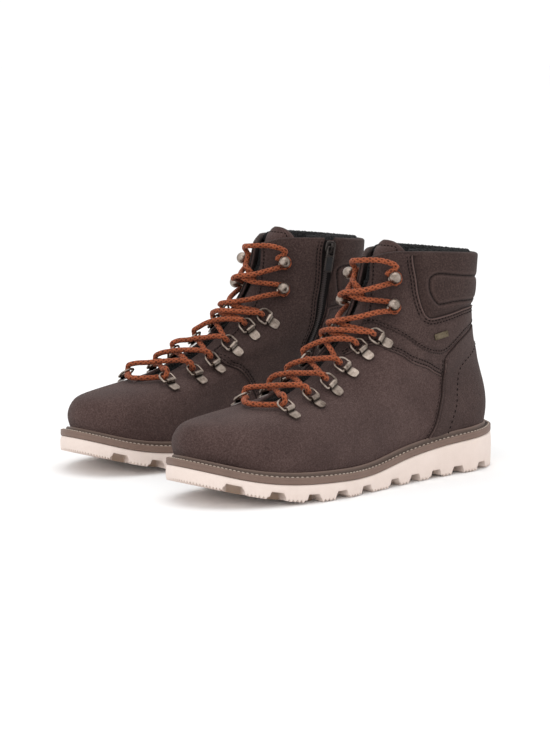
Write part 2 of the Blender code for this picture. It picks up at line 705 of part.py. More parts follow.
def hardware(side):
    """Plates and ball hooks, joined by the hidden strip that they are riveted to."""
    strip = make("lace_hardware", side, backing_strip(), "nickel")
    # a plate in section: a tab that folds over the straight side of its ring
    fold = [(-6.2, 1.4), (3.95, 1.4), (3.95, 4.1), (4.6, 4.75), (5.8, 4.75), (6.45, 4.1),
            (6.45, 2.1), (7.35, 2.1), (7.35, 4.5), (6.2, 5.65), (4.2, 5.65), (3.05, 4.5),
            (3.05, 2.4), (-6.2, 2.4)]
    rivets, bm = bmesh.new(), bmesh.new()
    for kind, sign, p, across, along, n in POSTS:
        top = 2.0 if kind == "ring" else BALL_HEIGHT - 2
        foot = over_surface(p)[2] + 4.0
        add_tube(rivets, [p - n * foot, p + n * top], 1.15, 5)
        if kind == "ring":
            add_prism(bm, fold, p - along * 3.2, across, n, along, 6.4)
        else:
            ball = bmesh.ops.create_icosphere(bm, subdivisions=2, radius=BALL / 2)["verts"]
            for v in ball:
                v.co = v.co[0] * across + v.co[1] * along + v.co[2] * n + p + n * BALL_HEIGHT
    boolean(strip, helper("rivets", side, rivets), "UNION")
    boolean(strip, helper("plates_and_balls", side, bm), "UNION")
    return strip


def rings(side):
    made = []
    for k, post in enumerate([p for p in POSTS if p[0] == "ring"]):
        bm = bmesh.new()
        add_tube(bm, ring_path(post), RING_WIRE / 2, 4, closed=True)
        number = k // 2 + 1
        where = "outer" if post[1] > 0 else "inner"
        made.append(make(f"ring_{where}_{number}", side, bm, "nickel", pivot=ring_frame(post)[0]))
    return made


# ---------------------------------------------------------------- lace
def lace_turn(post, first_over, toward):
    """Points round one ring or hook: over the bow, through the ring, back under it."""
    kind, sign, p, across, along, n = post
    r = LACE / 2
    if kind == "hook":
        centre = p + n * (OVERLAY + 0.35 + r + 1.1)
        near = 1.15 + r + 0.6
        pts = []
        for k in range(7):
            w = math.radians(115 - 230 * k / 6) * toward
            pts.append(centre - across * near * math.cos(w) + along * near * math.sin(w))
        return pts
    fold, reach, row, lift = ring_frame(post)
    bow = fold + reach * RING_REACH
    near = RING_WIRE / 2 + r + 0.6
    pts = []
    for k in range(5):
        w = math.radians(90 - 180 * k / 4)
        shift = row * 2.0 * math.sin(w) * toward * (1 if first_over else -1)
        pts.append(bow - reach * near * math.cos(w) + lift * near * math.sin(w) + shift)
    return pts if first_over else pts[::-1]


def lace_route(side):
    """Two ends start at the lowest rings and cross at every step to the top hooks."""
    near = 1 if side == "left" else -1          # the side that shows in the pair's front view
    levels = [[p for p in POSTS if p[1] == sign] for sign in (near, -near)]
    chain_a = [(0 if k % 2 == 0 else 1, k) for k in range(8)]     # near 1, far 2, near 3 ...
    chain_b = [(1 if k % 2 == 0 else 0, k) for k in range(8)]
    order = chain_b[::-1] + chain_a
    route = []
    for m, (which, level) in enumerate(order):
        post = levels[which][level]
        falling = m < 8
        toward = 1 if falling else -1             # arrives from above or from below
        prev_over = False
        if m > 0:
            prev_over = strand_over(order[m - 1], order[m])
        route.append(lace_turn(post, prev_over, toward))
    return order, route


def strand_over(a, b):
    """Whether the strand between two stations lies on top: far n to near n + 1 does."""
    low, high = sorted((a, b), key=lambda s: s[1])
    if low[1] == high[1]:
        return False
    return low[0] == 1


def lace_path(side):
    order, turns = lace_route(side)
    path = []
    for m, pts in enumerate(turns):
        if m:
            a, b = path[-1], pts[0]
            path += crossing(a, b, strand_over(order[m - 1], order[m]))
        path += pts
    return np.array(tuck(path[0], path[1], -1) [::-1] + path + tuck(path[-1], path[-2], 1))


def crossing(a, b, over):
    """Points between two turns, lifted clear of the facings and of the other strand."""
    pa, pb = over_surface(a), over_surface(b)
    pts = []
    for f, lift in ((0.14, 0.4), (0.32, 0.95), (0.5, 1.0), (0.68, 0.95), (0.86, 0.4)):
        u, v, h = pa + (pb - pa) * f
        low = 4.1 if v < 0.64 else 5.6              # the shaft panel lies over the shell there
        if lift < 0.5:                              # a ring's wire or the panel's edge to clear
            lift = 0.15 if h > low + 3 else 0.9 if v > 0.7 else 0.4
        pts.append(offset(u, v, h + (low + (4.6 if over else 0) - h) * lift))
    return pts


def tuck(end, before, sign):
    """The free ends run toward the middle and down behind the facing."""
    run = unit(end - before)
    return [end + run * 5.0]


def lace(side):
    p = lace_path(side)
    steps = np.linalg.norm(np.diff(p, axis=0), axis=1)
    t = []
    for k, d in enumerate(steps):
        n = max(1, int(round(d / 6.4)))
        t += [k + i / n for i in range(n)]
    smooth = spline(p, np.array(t + [len(p) - 1]))
    bm = bmesh.new()
    add_tube(bm, smooth, LACE / 2, 4)
    return make("lace", side, bm, "lace")


# ---------------------------------------------------------------- zip and badge
def zip_spot(share):
    """Surface point on the zip's centreline, share 0 at the bottom and 1 at the top."""
    x = ZIP_BOTTOM[0] + (ZIP_TOP[0] - ZIP_BOTTOM[0]) * share
    z = ZIP_BOTTOM[1] + (ZIP_TOP[1] - ZIP_BOTTOM[1]) * share
    u, v = locate((x, -45, z), weights=(1, 0.02, 1), start_u=(0.6, 0.8))
    return upper(u, v), upper_normal(u, v)


def zip_tape(side):
    bm = bmesh.new()
    half = ZIP_WIDTH / 2 - GAP - 0.1
    (xt, zt), (xb, zb) = ZIP_TOP, ZIP_BOTTOM
    over = np.array(unit((zt - zb, 0, xb - xt)))
    sections = []
    for share in np.linspace(0.012, 0.985, 9):
        p, n = zip_spot(share)
        profile = [(-half, -1.4), (-half, 0.2), (-1.9, 0.2), (-1.5, 1.3), (1.5, 1.3),
                   (1.9, 0.2), (half, 0.2), (half, -1.4)]
        sections.append([p + over * a + n * b for a, b in profile])
    add_loft(bm, sections)
    return make("zip_tape", side, bm, "zip")


def zip_axis():
    """Straight line along which the slider runs, clear of the coil all the way."""
    top, n = zip_spot(0.93)
    low, n_low = zip_spot(0.93 - ZIP_TRAVEL / 85.6)
    along = unit(top - low)
    normal = unit(n - along * (n @ along))
    return top + normal * SLIDER_LIFT, along, normal


def slider(side):
    top, along, n = zip_axis()
    over = np.cross(along, n)
    centre = top + n * 2.9
    bm = bmesh.new()
    shape = [(-4.2, -2.2), (-2.6, -5.2), (2.6, -5.2), (4.2, -2.2), (4.2, 3.2), (2.2, 5.0),
             (-2.2, 5.0), (-4.2, 3.2)]
    add_prism(bm, shape, centre - n * 0.5, over, along, n, 1.3)
    add_prism(bm, [(-0.7, -3.4), (0.7, -3.4), (0.7, 3.4), (-0.7, 3.4)], centre + n * 0.6,
              over, along, n, 2.6)
    body = make("zip_slider", side, bm, "dark_metal", pivot=centre)
    boolean(body, body_union_target(side), "UNION", self_cut=True)
    eye = bmesh.new()
    add_tube(eye, [centre + n * 2.0 - over * 3, centre + n * 2.0 + over * 3], 0.95, 6)
    boolean(body, helper("slider_eye_cutter", side, eye), "DIFFERENCE")
    return body


def body_union_target(side):
    """A sliver inside the slider's plate: the union with it also joins plate and bridge."""
    top, along, n = zip_axis()
    over = np.cross(along, n)
    bm = bmesh.new()
    add_prism(bm, [(-2, -1), (2, -1), (2, 1), (-2, 1)], top + n * 2.7, over, along, n, 0.4)
    return helper("slider_core", side, bm)


def zip_pull(side):
    top, along, n = zip_axis()
    over = np.cross(along, n)
    hinge = top + n * 4.9
    bm = bmesh.new()
    # a flat bow: pin through the slider's bridge, then two arms and a tab
    frame = [(-2.9, 0.6), (2.9, 0.6), (2.9, -17.5), (2.2, -19.5), (-2.2, -19.5), (-2.9, -17.5)]
    add_prism(bm, frame, hinge - n * 0.6, over, along, n, 1.2)
    pull = make("zip_pull", side, bm, "dark_metal", pivot=hinge)
    window = bmesh.new()
    add_prism(window, [(-1.9, -0.55), (1.9, -0.55), (1.9, -6.5), (-1.9, -6.5)], hinge - n * 3,
              over, along, n, 6)
    boolean(pull, helper("pull_window_cutter", side, window), "DIFFERENCE")
    return pull


def badge(side):
    u, v = locate((BADGE[0], 32, BADGE[1]), weights=(1, 0.02, 1), start_u=(0.2, 0.4))
    p, n = upper(u, v), upper_normal(u, v)
    ax = unit(np.array([1.0, 0, -0.12]) - n * np.dot((1.0, 0, -0.12), n))
    az = unit(np.cross(ax, n))
    bm = bmesh.new()
    add_prism(bm, [(-7, -2.4), (7, -2.4), (7, 2.4), (-7, 2.4)], p + n * 2.1, ax, az, n, 0.9)
    return make("badge", side, bm, "nickel")


# ---------------------------------------------------------------- the pair
def build_boot(side):
    frame = bpy.data.objects.new(f"{side}_boot_frame", None)
    bpy.context.scene.collection.objects.link(frame)
    outsole(side)
    midsole(side)
    welt(side)
    insole_board(side)
    footbed(side)
    shell_and_panels(side)
    insulation(side)
    lining(side)
    tongue(side)
    hardware(side)
    rings(side)
    lace(side)
    zip_tape(side)
    slider(side)
    zip_pull(side)
    badge(side)


def main():
    for obj in list(bpy.data.objects):
        bpy.data.objects.remove(obj)
    for side in ("left", "right"):
        build_boot(side)


main()
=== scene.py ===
"""Looks of the pair of insulated hunting boots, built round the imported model.

Every piece is drawn in its boot's own frame, in millimetres (x from the back of the heel
to the toe, y to the outer side of the foot, z up), on the same surfaces as the solids,
and place() stands it in the common frame.
"""
import math
from functools import partial

import bmesh
import bpy
import numpy as np
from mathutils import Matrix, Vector
from mathutils.geometry import delaunay_2d_cdt


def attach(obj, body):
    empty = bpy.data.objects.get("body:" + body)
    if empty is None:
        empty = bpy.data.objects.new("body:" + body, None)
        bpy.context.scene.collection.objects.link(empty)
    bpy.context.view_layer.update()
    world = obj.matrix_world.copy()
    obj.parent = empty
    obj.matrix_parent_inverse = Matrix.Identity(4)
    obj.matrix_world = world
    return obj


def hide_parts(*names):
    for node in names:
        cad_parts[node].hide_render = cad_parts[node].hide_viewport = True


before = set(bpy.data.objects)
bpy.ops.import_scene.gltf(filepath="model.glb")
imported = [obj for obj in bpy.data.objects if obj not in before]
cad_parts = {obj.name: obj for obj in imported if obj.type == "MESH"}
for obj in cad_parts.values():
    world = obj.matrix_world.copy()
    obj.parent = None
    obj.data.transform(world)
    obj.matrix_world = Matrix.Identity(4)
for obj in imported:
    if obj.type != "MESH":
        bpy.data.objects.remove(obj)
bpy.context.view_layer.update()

MM = 0.001
SIDES = ("left", "right")
SHARP_ANGLE = 45

# ---------------------------------------------------------------- driving dimensions (mm)
SOLE_LENGTH = 302.0
BOOT_SPACING = 164.0
STAGGER = 22.0
TOE_SPRING, SPRING_START = 17.8, 215.0
MIDSOLE, WELT, GAP = 2.6, 2.2, 0.3
WELT_LOW = MIDSOLE + 2.4 * GAP        # heights over the sole's top
WELT_TOP = WELT_LOW + WELT
FOOT_OF_UPPER = MIDSOLE + WELT + 3.8 * GAP
FEATHER_INSET = 6.5
SHELL = 1.6
PANEL = 1.3                   # height of a panel sewn over the shell
FOLD = 0.6                    # the same, of a seam that is only folded over
COLLAR_PAD = 3.0
LACE, SLACK = 4.2, 0.6        # the cord, and its room round wires and stems
VAMP_CLEAR, SHAFT_CLEAR = 4.1, 5.6    # height of a lower strand over the upper
STRAND_STEP = 4.6             # from a lower strand to the one that crosses over it
RING_WIRE, RING_WIDTH, RING_REACH = 1.8, 11.5, 9.6
RING_LIFT, BOW_HEIGHT = 7, 6.1
BALL, BALL_HEIGHT, HOOK_STEM = 9.4, 10.6, 1.15
ZIP_TOP, ZIP_BOTTOM = (67.9, 168.0), (84.6, 84.0)
ZIP_LENGTH, ZIP_TRAVEL = 85.6, 58.0
SLIDER_AT, SLIDER_LIFT = 0.93, 0.7
OVERLAY = 1.25                # a sewn panel's height in the solids, which the hooks stand on
BADGE = (74.7, 107.0)
TONGUE_HALF_WIDTH, TONGUE_LENGTH = 19.0, 200.0
HOOP_RISE = 21.0              # what one hoop would add to the tongue's top above the rim
STITCH, STITCH_STEP, THREAD = 2.1, 3.0, 0.8
NEAR_ROW, TWIN_ROWS = (2.4,), (2.2, 4.6)    # rows of stitches, in mm from a seam's edge
BRAID_PITCH, BRAID_RELIEF = 4.4, 0.28
TOOTH_PITCH, TOOTH_HEIGHT = 3.0, 1.8

SOLE_OUTLINE = [(0, 0), (8, 22), (35, 36.5), (75, 38), (120, 42.5), (160, 49), (195, 53.5),
                (235, 50), (270, 38), (292, 20), (302, -6), (292, -30), (270, -43),
                (235, -49.5), (205, -47), (160, -36), (120, -31), (75, -34.5), (35, -35.5),
                (8, -22)]
SOLE_TOP = [(0, 27), (60, 24), (110, 19.7), (160, 12.6), (200, 12.5), (240, 14.6),
            (270, 19.4), (302, 28.7)]
NOTCH_X = [32.5, 60, 85, 110, 134.6, 169, 196, 222, 251, 279]
NOTCH_DEPTH = 6.0
OUTLINE_LENGTH = 690          # round the sole, near enough to space points by

# the upper as hoops from the foot of the upper to the rim: front x, front z, back x,
# back z, half width, how much of the hoop follows the sole (1) or the leg (0), how
# pointed its front is, centre y, rise of its sides
HOOPS = [
    (295.5, 32, 6.0, 31, 33.0, 1.00, 0.00, -3.0, 0.00),
    (298.5, 42, 3.5, 42, 33.0, 0.97, 0.00, -3.0, 0.00),
    (296.0, 51, 2.5, 52, 33.0, 0.88, 0.00, -3.0, 0.00),
    (289.0, 58, 2.5, 62, 33.0, 0.70, 0.05, -3.0, 0.00),
    (272.0, 62, 4.0, 72, 33.0, 0.45, 0.15, -3.0, 0.00),
    (248.0, 64, 6.5, 82, 33.0, 0.20, 0.30, -2.5, 0.00),
    (223.0, 67.5, 9.5, 91, 33.5, 0.00, 0.40, -1.5, 0.00),
    (196.0, 74.5, 12.5, 100, 35.0, 0.00, 0.30, -3.0, 0.00),
    (168.0, 87, 15.0, 109, 36.5, 0.00, 0.35, -4.5, 0.00),
    (148.0, 102, 17.0, 118, 37.5, 0.00, 0.55, -6.0, 0.00),
    (135.0, 117, 18.0, 128, 37.5, 0.00, 0.80, -7.0, 0.10),
    (127.0, 133, 17.5, 139, 37.5, 0.00, 1.00, -8.0, 0.35),
    (120.0, 149, 16.5, 151, 37.5, 0.00, 1.00, -8.0, 0.65),
    (116.0, 164, 16.0, 163.5, 38.0, 0.00, 1.00, -8.0, 1.00)]
# columns of a hoop from its front to its back: share of the length, half width of a
# round hoop, half width of a pointed one, rise of the side
COLUMNS = [(1.0, 0.0, 0.02, 0.0), (0.965, 0.47, 0.15, 1.0), (0.86, 0.79, 0.36, 4.0),
           (0.72, 0.95, 0.66, 4.5), (0.55, 1.0, 0.90, 4.0), (0.37, 0.985, 1.0, 3.0),
           (0.20, 0.87, 0.92, 1.5), (0.06, 0.53, 0.58, 0.5), (0.0, 0.0, 0.0, 0.0)]
SIDE_SWELL = [1.0, 1.03, 1.03, 0.99, 0.93, 0.86]   # width of the low hoops over the sole's

# throat: half gap between the facings along v (0 at the foot of the upper, 1 at the rim)
THROAT_V = 0.42
HALF_GAP = [(0.42, 0.0), (0.45, 9.0), (0.50, 12.0), (0.72, 12.0), (0.80, 9.5), (0.88, 6.5),
            (1.0, 4.0)]
# lacing hardware from the toe up: x, z, half spacing, centre y
RINGS = [(222, 59, 29.6, -1), (195, 65, 29.6, -3), (175, 74.5, 29.0, -4),
         (157, 86.6, 27.9, -5.5), (140, 98.6, 27.5, -6.5), (124, 107.5, 33.5, -7.5)]
HOOKS = [(110.2, 130.4, 25.7, -8.2), (106.3, 151.2, 23.1, -8.2)]


# ---------------------------------------------------------------- curves and surfaces
def blend(a, b, c, d, f):
    """Catmull-Rom step from b to c at the share f."""
    return 0.5 * (2 * b + (c - a) * f + (2 * a - 5 * b + 4 * c - d) * f ** 2
                  + (3 * b - a - 3 * c + d) * f ** 3)


def spline(points, t, closed=False):
    """Catmull-Rom curve through the points at the parameters t."""
    p = np.asarray(points, float)
    n = len(p)
    t = np.asarray(t, float)
    i = np.floor(t).astype(int) if closed else np.clip(np.floor(t).astype(int), 0, n - 2)
    f = (t - i)[..., None]

    def at(k):
        if closed:
            return p[k % n]
        q = p[np.clip(k, 0, n - 1)]
        q = np.where((k < 0)[..., None], 2 * p[0] - p[1], q)
        return np.where((k >= n)[..., None], 2 * p[-1] - p[-2], q)

    return blend(at(i - 1), at(i), at(i + 1), at(i + 2), f)


def height_along(points, x):
    """z at x on the smooth line through (x, z) points."""
    s = spline(points, np.linspace(0, len(points) - 1, 400))
    return np.interp(x, s[:, 0], s[:, 1])


def sole_edge(inset, count=400):
    """The sole's outline moved in by inset, as count points."""
    c = spline(SOLE_OUTLINE, np.linspace(0, len(SOLE_OUTLINE), count, endpoint=False), True)
    t = np.roll(c, -1, 0) - np.roll(c, 1, 0)
    t /= np.linalg.norm(t, axis=1)[:, None]
    return c + inset * np.stack([t[:, 1], -t[:, 0]], 1)


def edge_y(edge, x, outer):
    """y of the outer or inner side of an outline at x."""
    half = edge[edge[:, 1] > -2] if outer else edge[edge[:, 1] <= -2]
    half = half[np.argsort(half[:, 0])]
    return np.interp(x, half[:, 0], half[:, 1])


def sole_bottom(x):
    """Height of the tread, which springs up at the toe."""
    return TOE_SPRING * (np.maximum(np.asarray(x, float) - SPRING_START, 0)
                         / (SOLE_LENGTH - SPRING_START)) ** 1.6


def sole_top(x):
    """Height of the outsole's top."""
    return height_along(SOLE_TOP, x)


def on_sole(surface, edge):
    """Height of one of the sole's two surfaces at the points of an outline."""
    return surface(np.clip(edge[:, 0], 0, SOLE_LENGTH))


def lengths(line):
    """Length along a line of points, at each of them."""
    return np.concatenate([[0], np.cumsum(np.linalg.norm(np.diff(line, axis=0), axis=1))])


def sample(line, lengths_along, at):
    """The line's columns at the lengths at."""
    return np.stack([np.interp(at, lengths_along, column) for column in line.T], 1)


def hoop_net():
    """Control points of the upper: one row for each hoop, 16 columns round from the toe."""
    edge = sole_edge(FEATHER_INSET)
    first, net = HOOPS[0], []
    for j, (fx, fz, bx, bz, half, low, point, cy, rise) in enumerate(HOOPS):
        sides = {1: [], -1: []}
        for k, (share, round_y, point_y, lift) in enumerate(COLUMNS):
            x = bx + (fx - bx) * share
            foot_x = first[2] + (first[0] - first[2]) * share
            # the low hoops' straight line from heel to toe over the sole's curved top
            sag = (first[3] + (first[1] - first[3]) * (x - 7) / 288.5
                   - sole_top(x) - FOOT_OF_UPPER)
            z = bz + (fz - bz) * share + lift * rise - sag * max(0, 1 - j / 7) ** 1.5
            swell = SIDE_SWELL[min(j, 5)]
            for side in (1, -1):
                if k in (0, 8):
                    y = (-6.0 if k == 0 else 0.0) * low + cy * (1 - low)
                else:
                    leg = cy + side * half * (round_y * (1 - point) + point_y * point)
                    y = edge_y(edge, foot_x, side > 0) * swell * low + leg * (1 - low)
                if side > 0 and k == 1:
                    y -= 3.2 * max(0, 1 - j / 5)      # the toe box rounds off on the outside
                if side > 0:
                    y -= 1.6 * share ** 2 * max(0, 1 - abs(j - 4) / 2.5)
                sides[side].append((x, y, z))
        net.append(sides[1] + sides[-1][7:0:-1])
    return np.array(net)


NET = hoop_net()


def upper(u, v):
    """Outside of the upper: u runs round from the toe by the outer side, v up from 0 to 1."""
    u, v = np.broadcast_arrays(np.asarray(u, float) % 1.0, np.clip(np.asarray(v, float), 0, 1))
    rows, cols, _ = NET.shape
    tv = (v * (rows - 1)).ravel()
    i = np.clip(np.floor(tv).astype(int), 0, rows - 2)
    f = (tv - i)[:, None]

    def row(r):
        r = np.clip(r, 0, rows - 1)
        tu = u.ravel() * cols
        k = np.floor(tu).astype(int)
        return blend(*(NET[r, (k + o) % cols] for o in (-1, 0, 1, 2)), (tu - k)[:, None])

    b, c = row(i), row(i + 1)
    a = np.where((i < 1)[:, None], 2 * b - c, row(i - 1))
    d = np.where((i > rows - 3)[:, None], 2 * c - b, row(i + 2))
    return blend(a, b, c, d, f).reshape(u.shape + (3,))


def unit(a):
    a = np.asarray(a, float)
    return a / np.maximum(np.linalg.norm(a, axis=-1, keepdims=True), 1e-9)


def upper_normal(u, v):
    """Outward direction square to the upper."""
    du = upper(u + 0.006, v) - upper(u - 0.006, v)
    dv = upper(u, np.clip(v + 0.006, 0, 1)) - upper(u, np.clip(v - 0.006, 0, 1))
    return unit(np.cross(du, dv))


def offset(u, v, height):
    """Point of the upper moved out along its normal."""
    return upper(u, v) + upper_normal(u, v) * height


def locate(target, weights=(1, 1, 1), start_u=None):
    """(u, v) of the upper nearest to a point; the weights choose which axes matter."""
    w = np.asarray(weights, float)
    lo, hi = start_u or (0.0, 1.0)
    span_u, span_v, cu, cv = hi - lo, 1.0, (lo + hi) / 2, 0.5
    for _ in range(7):
        us = np.linspace(cu - span_u / 2, cu + span_u / 2, 41)
        vs = np.clip(np.linspace(cv - span_v / 2, cv + span_v / 2, 41), 0, 1)
        d = (((upper(us[None], vs[:, None]) - target) * w) ** 2).sum(-1)
        r, c = np.unravel_index(d.argmin(), d.shape)
        cu, cv, span_u, span_v = us[c], vs[r], span_u / 5, span_v / 5
    return cu % 1.0, cv


def centre_y(v):
    """Middle of the leg at the height v."""
    return np.interp(v, np.linspace(0, 1, len(HOOPS)), [h[7] for h in HOOPS])


def at_half_width(v, half, side):
    """u where the upper is half mm to one side of the front line, at the height v."""
    lo, hi = 0.0, 0.2
    for _ in range(24):
        mid = (lo + hi) / 2
        y = upper(mid * side, v)[1]
        lo, hi = (mid, hi) if abs(y - centre_y(v)) < half else (lo, mid)
    return (lo + hi) / 2 * side


def over_surface(point):
    """(u, v, height) of a point over the front of the upper; u runs from -0.2 to 0.2."""
    u, v = locate(point, start_u=(-0.2, 0.2))
    u = u - 1 if u > 0.5 else u
    return np.array([u, v, (point - upper(u, v)) @ upper_normal(u, v)])


def bump_under(p, across, along, n):
    """How far a plate has to stand off where the upper is hollow under its corners."""
    thickness, clearance, most = 1.4, 0.35, 1.3
    least = min(over_surface(p + across * a + along * b + n * thickness)[2]
                for a in (-6.2, 7.3) for b in (-3.2, 3.2))
    return min(max(clearance - least, 0.0), most)


def post_points():
    """Where rings and hooks are fixed: (kind, side, point, across, along, normal)."""
    rows = [("ring", *r) for r in RINGS] + [("hook", *h) for h in HOOKS]
    posts = []
    for sign in (1, -1):
        span = (0.02, 0.35) if sign > 0 else (0.65, 0.98)
        uv = [locate((x, cy + sign * half, z), start_u=span) for _, x, z, half, cy in rows]
        line = [upper(*spot) for spot in uv]
        for k, (row, (u, v)) in enumerate(zip(rows, uv)):
            # along: up the row of hardware; across: square to it, toward the middle
            n = upper_normal(u, v)
            run = line[min(k + 1, len(line) - 1)] - line[max(k - 1, 0)]
            along = unit(run - n * (run @ n))
            across = sign * np.cross(n, along)
            p = line[k] + n * bump_under(line[k], across, along, n)
            posts.append((k, (row[0], sign, p, across, along, n)))
    return [post for _, post in sorted(posts, key=lambda pair: pair[0])]


POSTS = post_points()


# ---------------------------------------------------------------- frame of the pair
def place(points, side):
    """Boot frame in mm to the common frame in metres; side is 'left' or 'right'."""
    p = np.asarray(points, float)
    half = (SOLE_LENGTH + STAGGER) / 2
    if side == "left":
        q = np.stack([half - STAGGER - p[..., 0], -BOOT_SPACING / 2 - p[..., 1], p[..., 2]], -1)
    else:
        q = np.stack([half - p[..., 0], BOOT_SPACING / 2 + p[..., 1], p[..., 2]], -1)
    return q * MM


# ---------------------------------------------------------------- meshes
def grid_faces(rows, cols, close_u=False, close_v=False):
    """Quads over a grid of rows x cols points."""
    i = np.arange(rows if close_v else rows - 1)
    j = np.arange(cols if close_u else cols - 1)
    a, b = (m.ravel() for m in np.meshgrid(i, j, indexing="ij"))
    c, d = (a + 1) % rows, (b + 1) % cols
    return np.stack([a * cols + b, a * cols + d, c * cols + d, c * cols + b], 1).tolist()


class Shape:
    """Points and faces of one piece, gathered in boot coordinates, with a tone for each point:
    painted shade or highlight, and on the lace its dark strands too.
    """

    def __init__(self):
        self.points, self.faces, self.tones, self.count = [], [], [], 0

    def add(self, points, faces, tone=0.0):
        points = np.asarray(points, float).reshape(-1, 3)
        self.points.append(points)
        self.tones.append(np.broadcast_to(np.asarray(tone, float).ravel(), len(points)))
        self.faces += [[k + self.count for k in face] for face in faces]
        self.count += len(points)

    def loft(self, sections, closed=False, tone=0.0):
        """A skin through sections of equal length, each a closed loop."""
        s = np.asarray(sections, float)
        rows, cols = s.shape[:2]
        faces = grid_faces(rows, cols, True, closed)
        if not closed:
            faces += [list(range(cols))[::-1], list(range((rows - 1) * cols, rows * cols))]
        self.add(s, faces, tone)

    def tube(self, path, radius, sides=12, closed=False, tone=0.0):
        """A round bar; radius is a number, or a value for each station and side."""
        p = np.asarray(path, float)
        t = tangents(p, closed)
        across = steady_frames(t)
        twist = 0.0
        if closed:
            end = unit(across[-1] - t[0] * (across[-1] @ t[0]))
            twist = math.atan2(end @ np.cross(t[0], across[0]), end @ across[0])
        other = np.cross(t, across)
        w = 2 * math.pi * np.arange(sides) / sides - (twist * np.arange(len(p)) / len(p))[:, None]
        r = np.broadcast_to(radius, w.shape)[..., None]
        ring = across[:, None] * np.cos(w)[..., None] + other[:, None] * np.sin(w)[..., None]
        self.loft(p[:, None] + r * ring, closed=closed, tone=tone)

    def prism(self, outline, origin, ax, ay, az, depth, rim):
        """Outline points (a, b) on ax and ay pushed depth along az, its edges eased by rim."""
        o = np.asarray(outline, float)
        small = o + unit(o.mean(0) - o) * rim
        self.loft([[origin + ax * a + ay * b + az * d for a, b in loop]
                   for loop, d in ((small, 0.0), (o, rim), (o, depth - rim), (small, depth))])

    def lathe(self, profile, origin, axis, sides=28):
        """(radius, height) points turned round an axis, with small flat ends."""
        side = unit(np.cross(axis, (0.31, 0.82, 0.47)))
        w = 2 * math.pi * np.arange(sides) / sides
        spin = np.cos(w)[:, None] * side + np.sin(w)[:, None] * np.cross(axis, side)
        self.loft([origin + axis * h + spin * max(r, 0.02) for r, h in profile])


def tangents(line, closed=False):
    """Direction of a line of points at each of them."""
    return unit(np.roll(line, -1, 0) - np.roll(line, 1, 0) if closed
                else np.gradient(line, axis=0))


def steady_frames(directions):
    """Vectors square to the directions that turn as little as they can."""
    slanted = (0.21, 0.35, 0.91)                      # along none of the directions
    across = unit(np.cross(directions[0], slanted))
    out = []
    for t in directions:
        across = unit(across - t * (across @ t))
        out.append(across)
    return np.array(out)


def triangles(points, count):
    """Triangles over flat points, of which the first count are the outline."""
    out = delaunay_2d_cdt([Vector(p) for p in points], [], [list(range(count))], 1, 1e-7)
    origin = [o[0] if o else -1 for o in out[3]]
    return [[origin[k] for k in f] for f in out[2] if all(origin[k] >= 0 for k in f)]


def add_object(name, data):
    obj = bpy.data.objects.new(name, data)
    bpy.context.scene.collection.objects.link(obj)
    return obj


def piece(name, side, shape, material, slot, replaces=(), body="boot", pad=None):
    """Makes an object of a shape, in the common frame, riding on its body."""
    points = np.concatenate(shape.points)
    mesh = bpy.data.meshes.new(f"{side}_{name}")
    mesh.from_pydata(points.tolist(), [], shape.faces)
    bm = bmesh.new()
    bm.from_mesh(mesh)
    bmesh.ops.recalc_face_normals(bm, faces=bm.faces)
    if side == "right":                               # the right boot is mirrored
        bmesh.ops.reverse_faces(bm, faces=bm.faces)
    bm.to_mesh(mesh)
    bm.free()
    mesh.vertices.foreach_set("co", place(points, side).ravel())
    # tone: painted shade and highlight, and on the lace its dark strands as well
    tone = mesh.attributes.new("tone", "FLOAT", "POINT")
    tone.data.foreach_set("value", np.concatenate(shape.tones).astype(np.float32))
    mesh.materials.append(material)
    mesh.shade_smooth()
    mesh.set_sharp_from_angle(angle=math.radians(SHARP_ANGLE))
    mesh.update()
    obj = add_object(f"{side}_{name}", mesh)
    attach(obj, f"{side}_{body}")
    if replaces:
        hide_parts(*[f"{side}_{node}" for node in replaces])
    return obj


# ---------------------------------------------------------------- lines on the upper
def frame_at(uv):
    """Derivatives of the upper along u and along v."""
    e = 0.0015
    u, v = np.asarray(uv, float).T
    lo, hi = np.clip(v - e, 0, 1), np.clip(v + e, 0, 1)
    return ((upper(u + e, v) - upper(u - e, v)) / (2 * e),
            (upper(u, hi) - upper(u, lo)) / (hi - lo)[:, None])


def slide(uv, step):
    """(u, v) moved by steps in mm that lie in the surface."""
    du, dv = frame_at(uv)
    a, b, c = (du * du).sum(1), (du * dv).sum(1), (dv * dv).sum(1)
    p, q = (du * step).sum(1), (dv * step).sum(1)
    det = a * c - b * b
    return np.c_[uv[:, 0] + (c * p - b * q) / det, np.clip(uv[:, 1] + (a * q - b * p) / det, 0, 1)]


def raised(uv, height):
    """Points over the upper at a height, or at one height for each."""
    uv = np.asarray(uv, float)
    height = np.broadcast_to(height, uv.shape[:1])
    return upper(*uv.T) + upper_normal(*uv.T) * height[:, None]


def even(uv, step=1.1):
    """The line of (u, v) points resampled to equal steps in mm."""
    uv = np.asarray(uv, float)
    if len(uv) == 2:
        uv = uv[0] + (uv[1] - uv[0]) * np.linspace(0, 1, 60)[:, None]
    s = lengths(upper(*uv.T))
    return sample(uv, s, np.linspace(0, s[-1], max(2, int(round(s[-1] / step)) + 1)))


def curve(uv, step=1.1):
    """A smooth line through (u, v) control points."""
    uv = np.asarray(uv, float)
    return even(spline(uv, np.linspace(0, len(uv) - 1, 24 * len(uv))), step)


def on_side(points, outer):
    """(u, v) of points (x, z) of the side view, on the outer or the inner side."""
    span = (0.03, 0.48) if outer else (0.52, 0.97)
    y = 45 if outer else -45
    return [locate((x, y, z), weights=(1, 0.02, 1), start_u=span) for x, z in points]


def at_back(z):
    """(u, v) of the heel's middle line at a height."""
    vs = np.linspace(0, 1, 200)
    return 0.5, float(np.interp(z, upper(0.5, vs)[:, 2], vs))


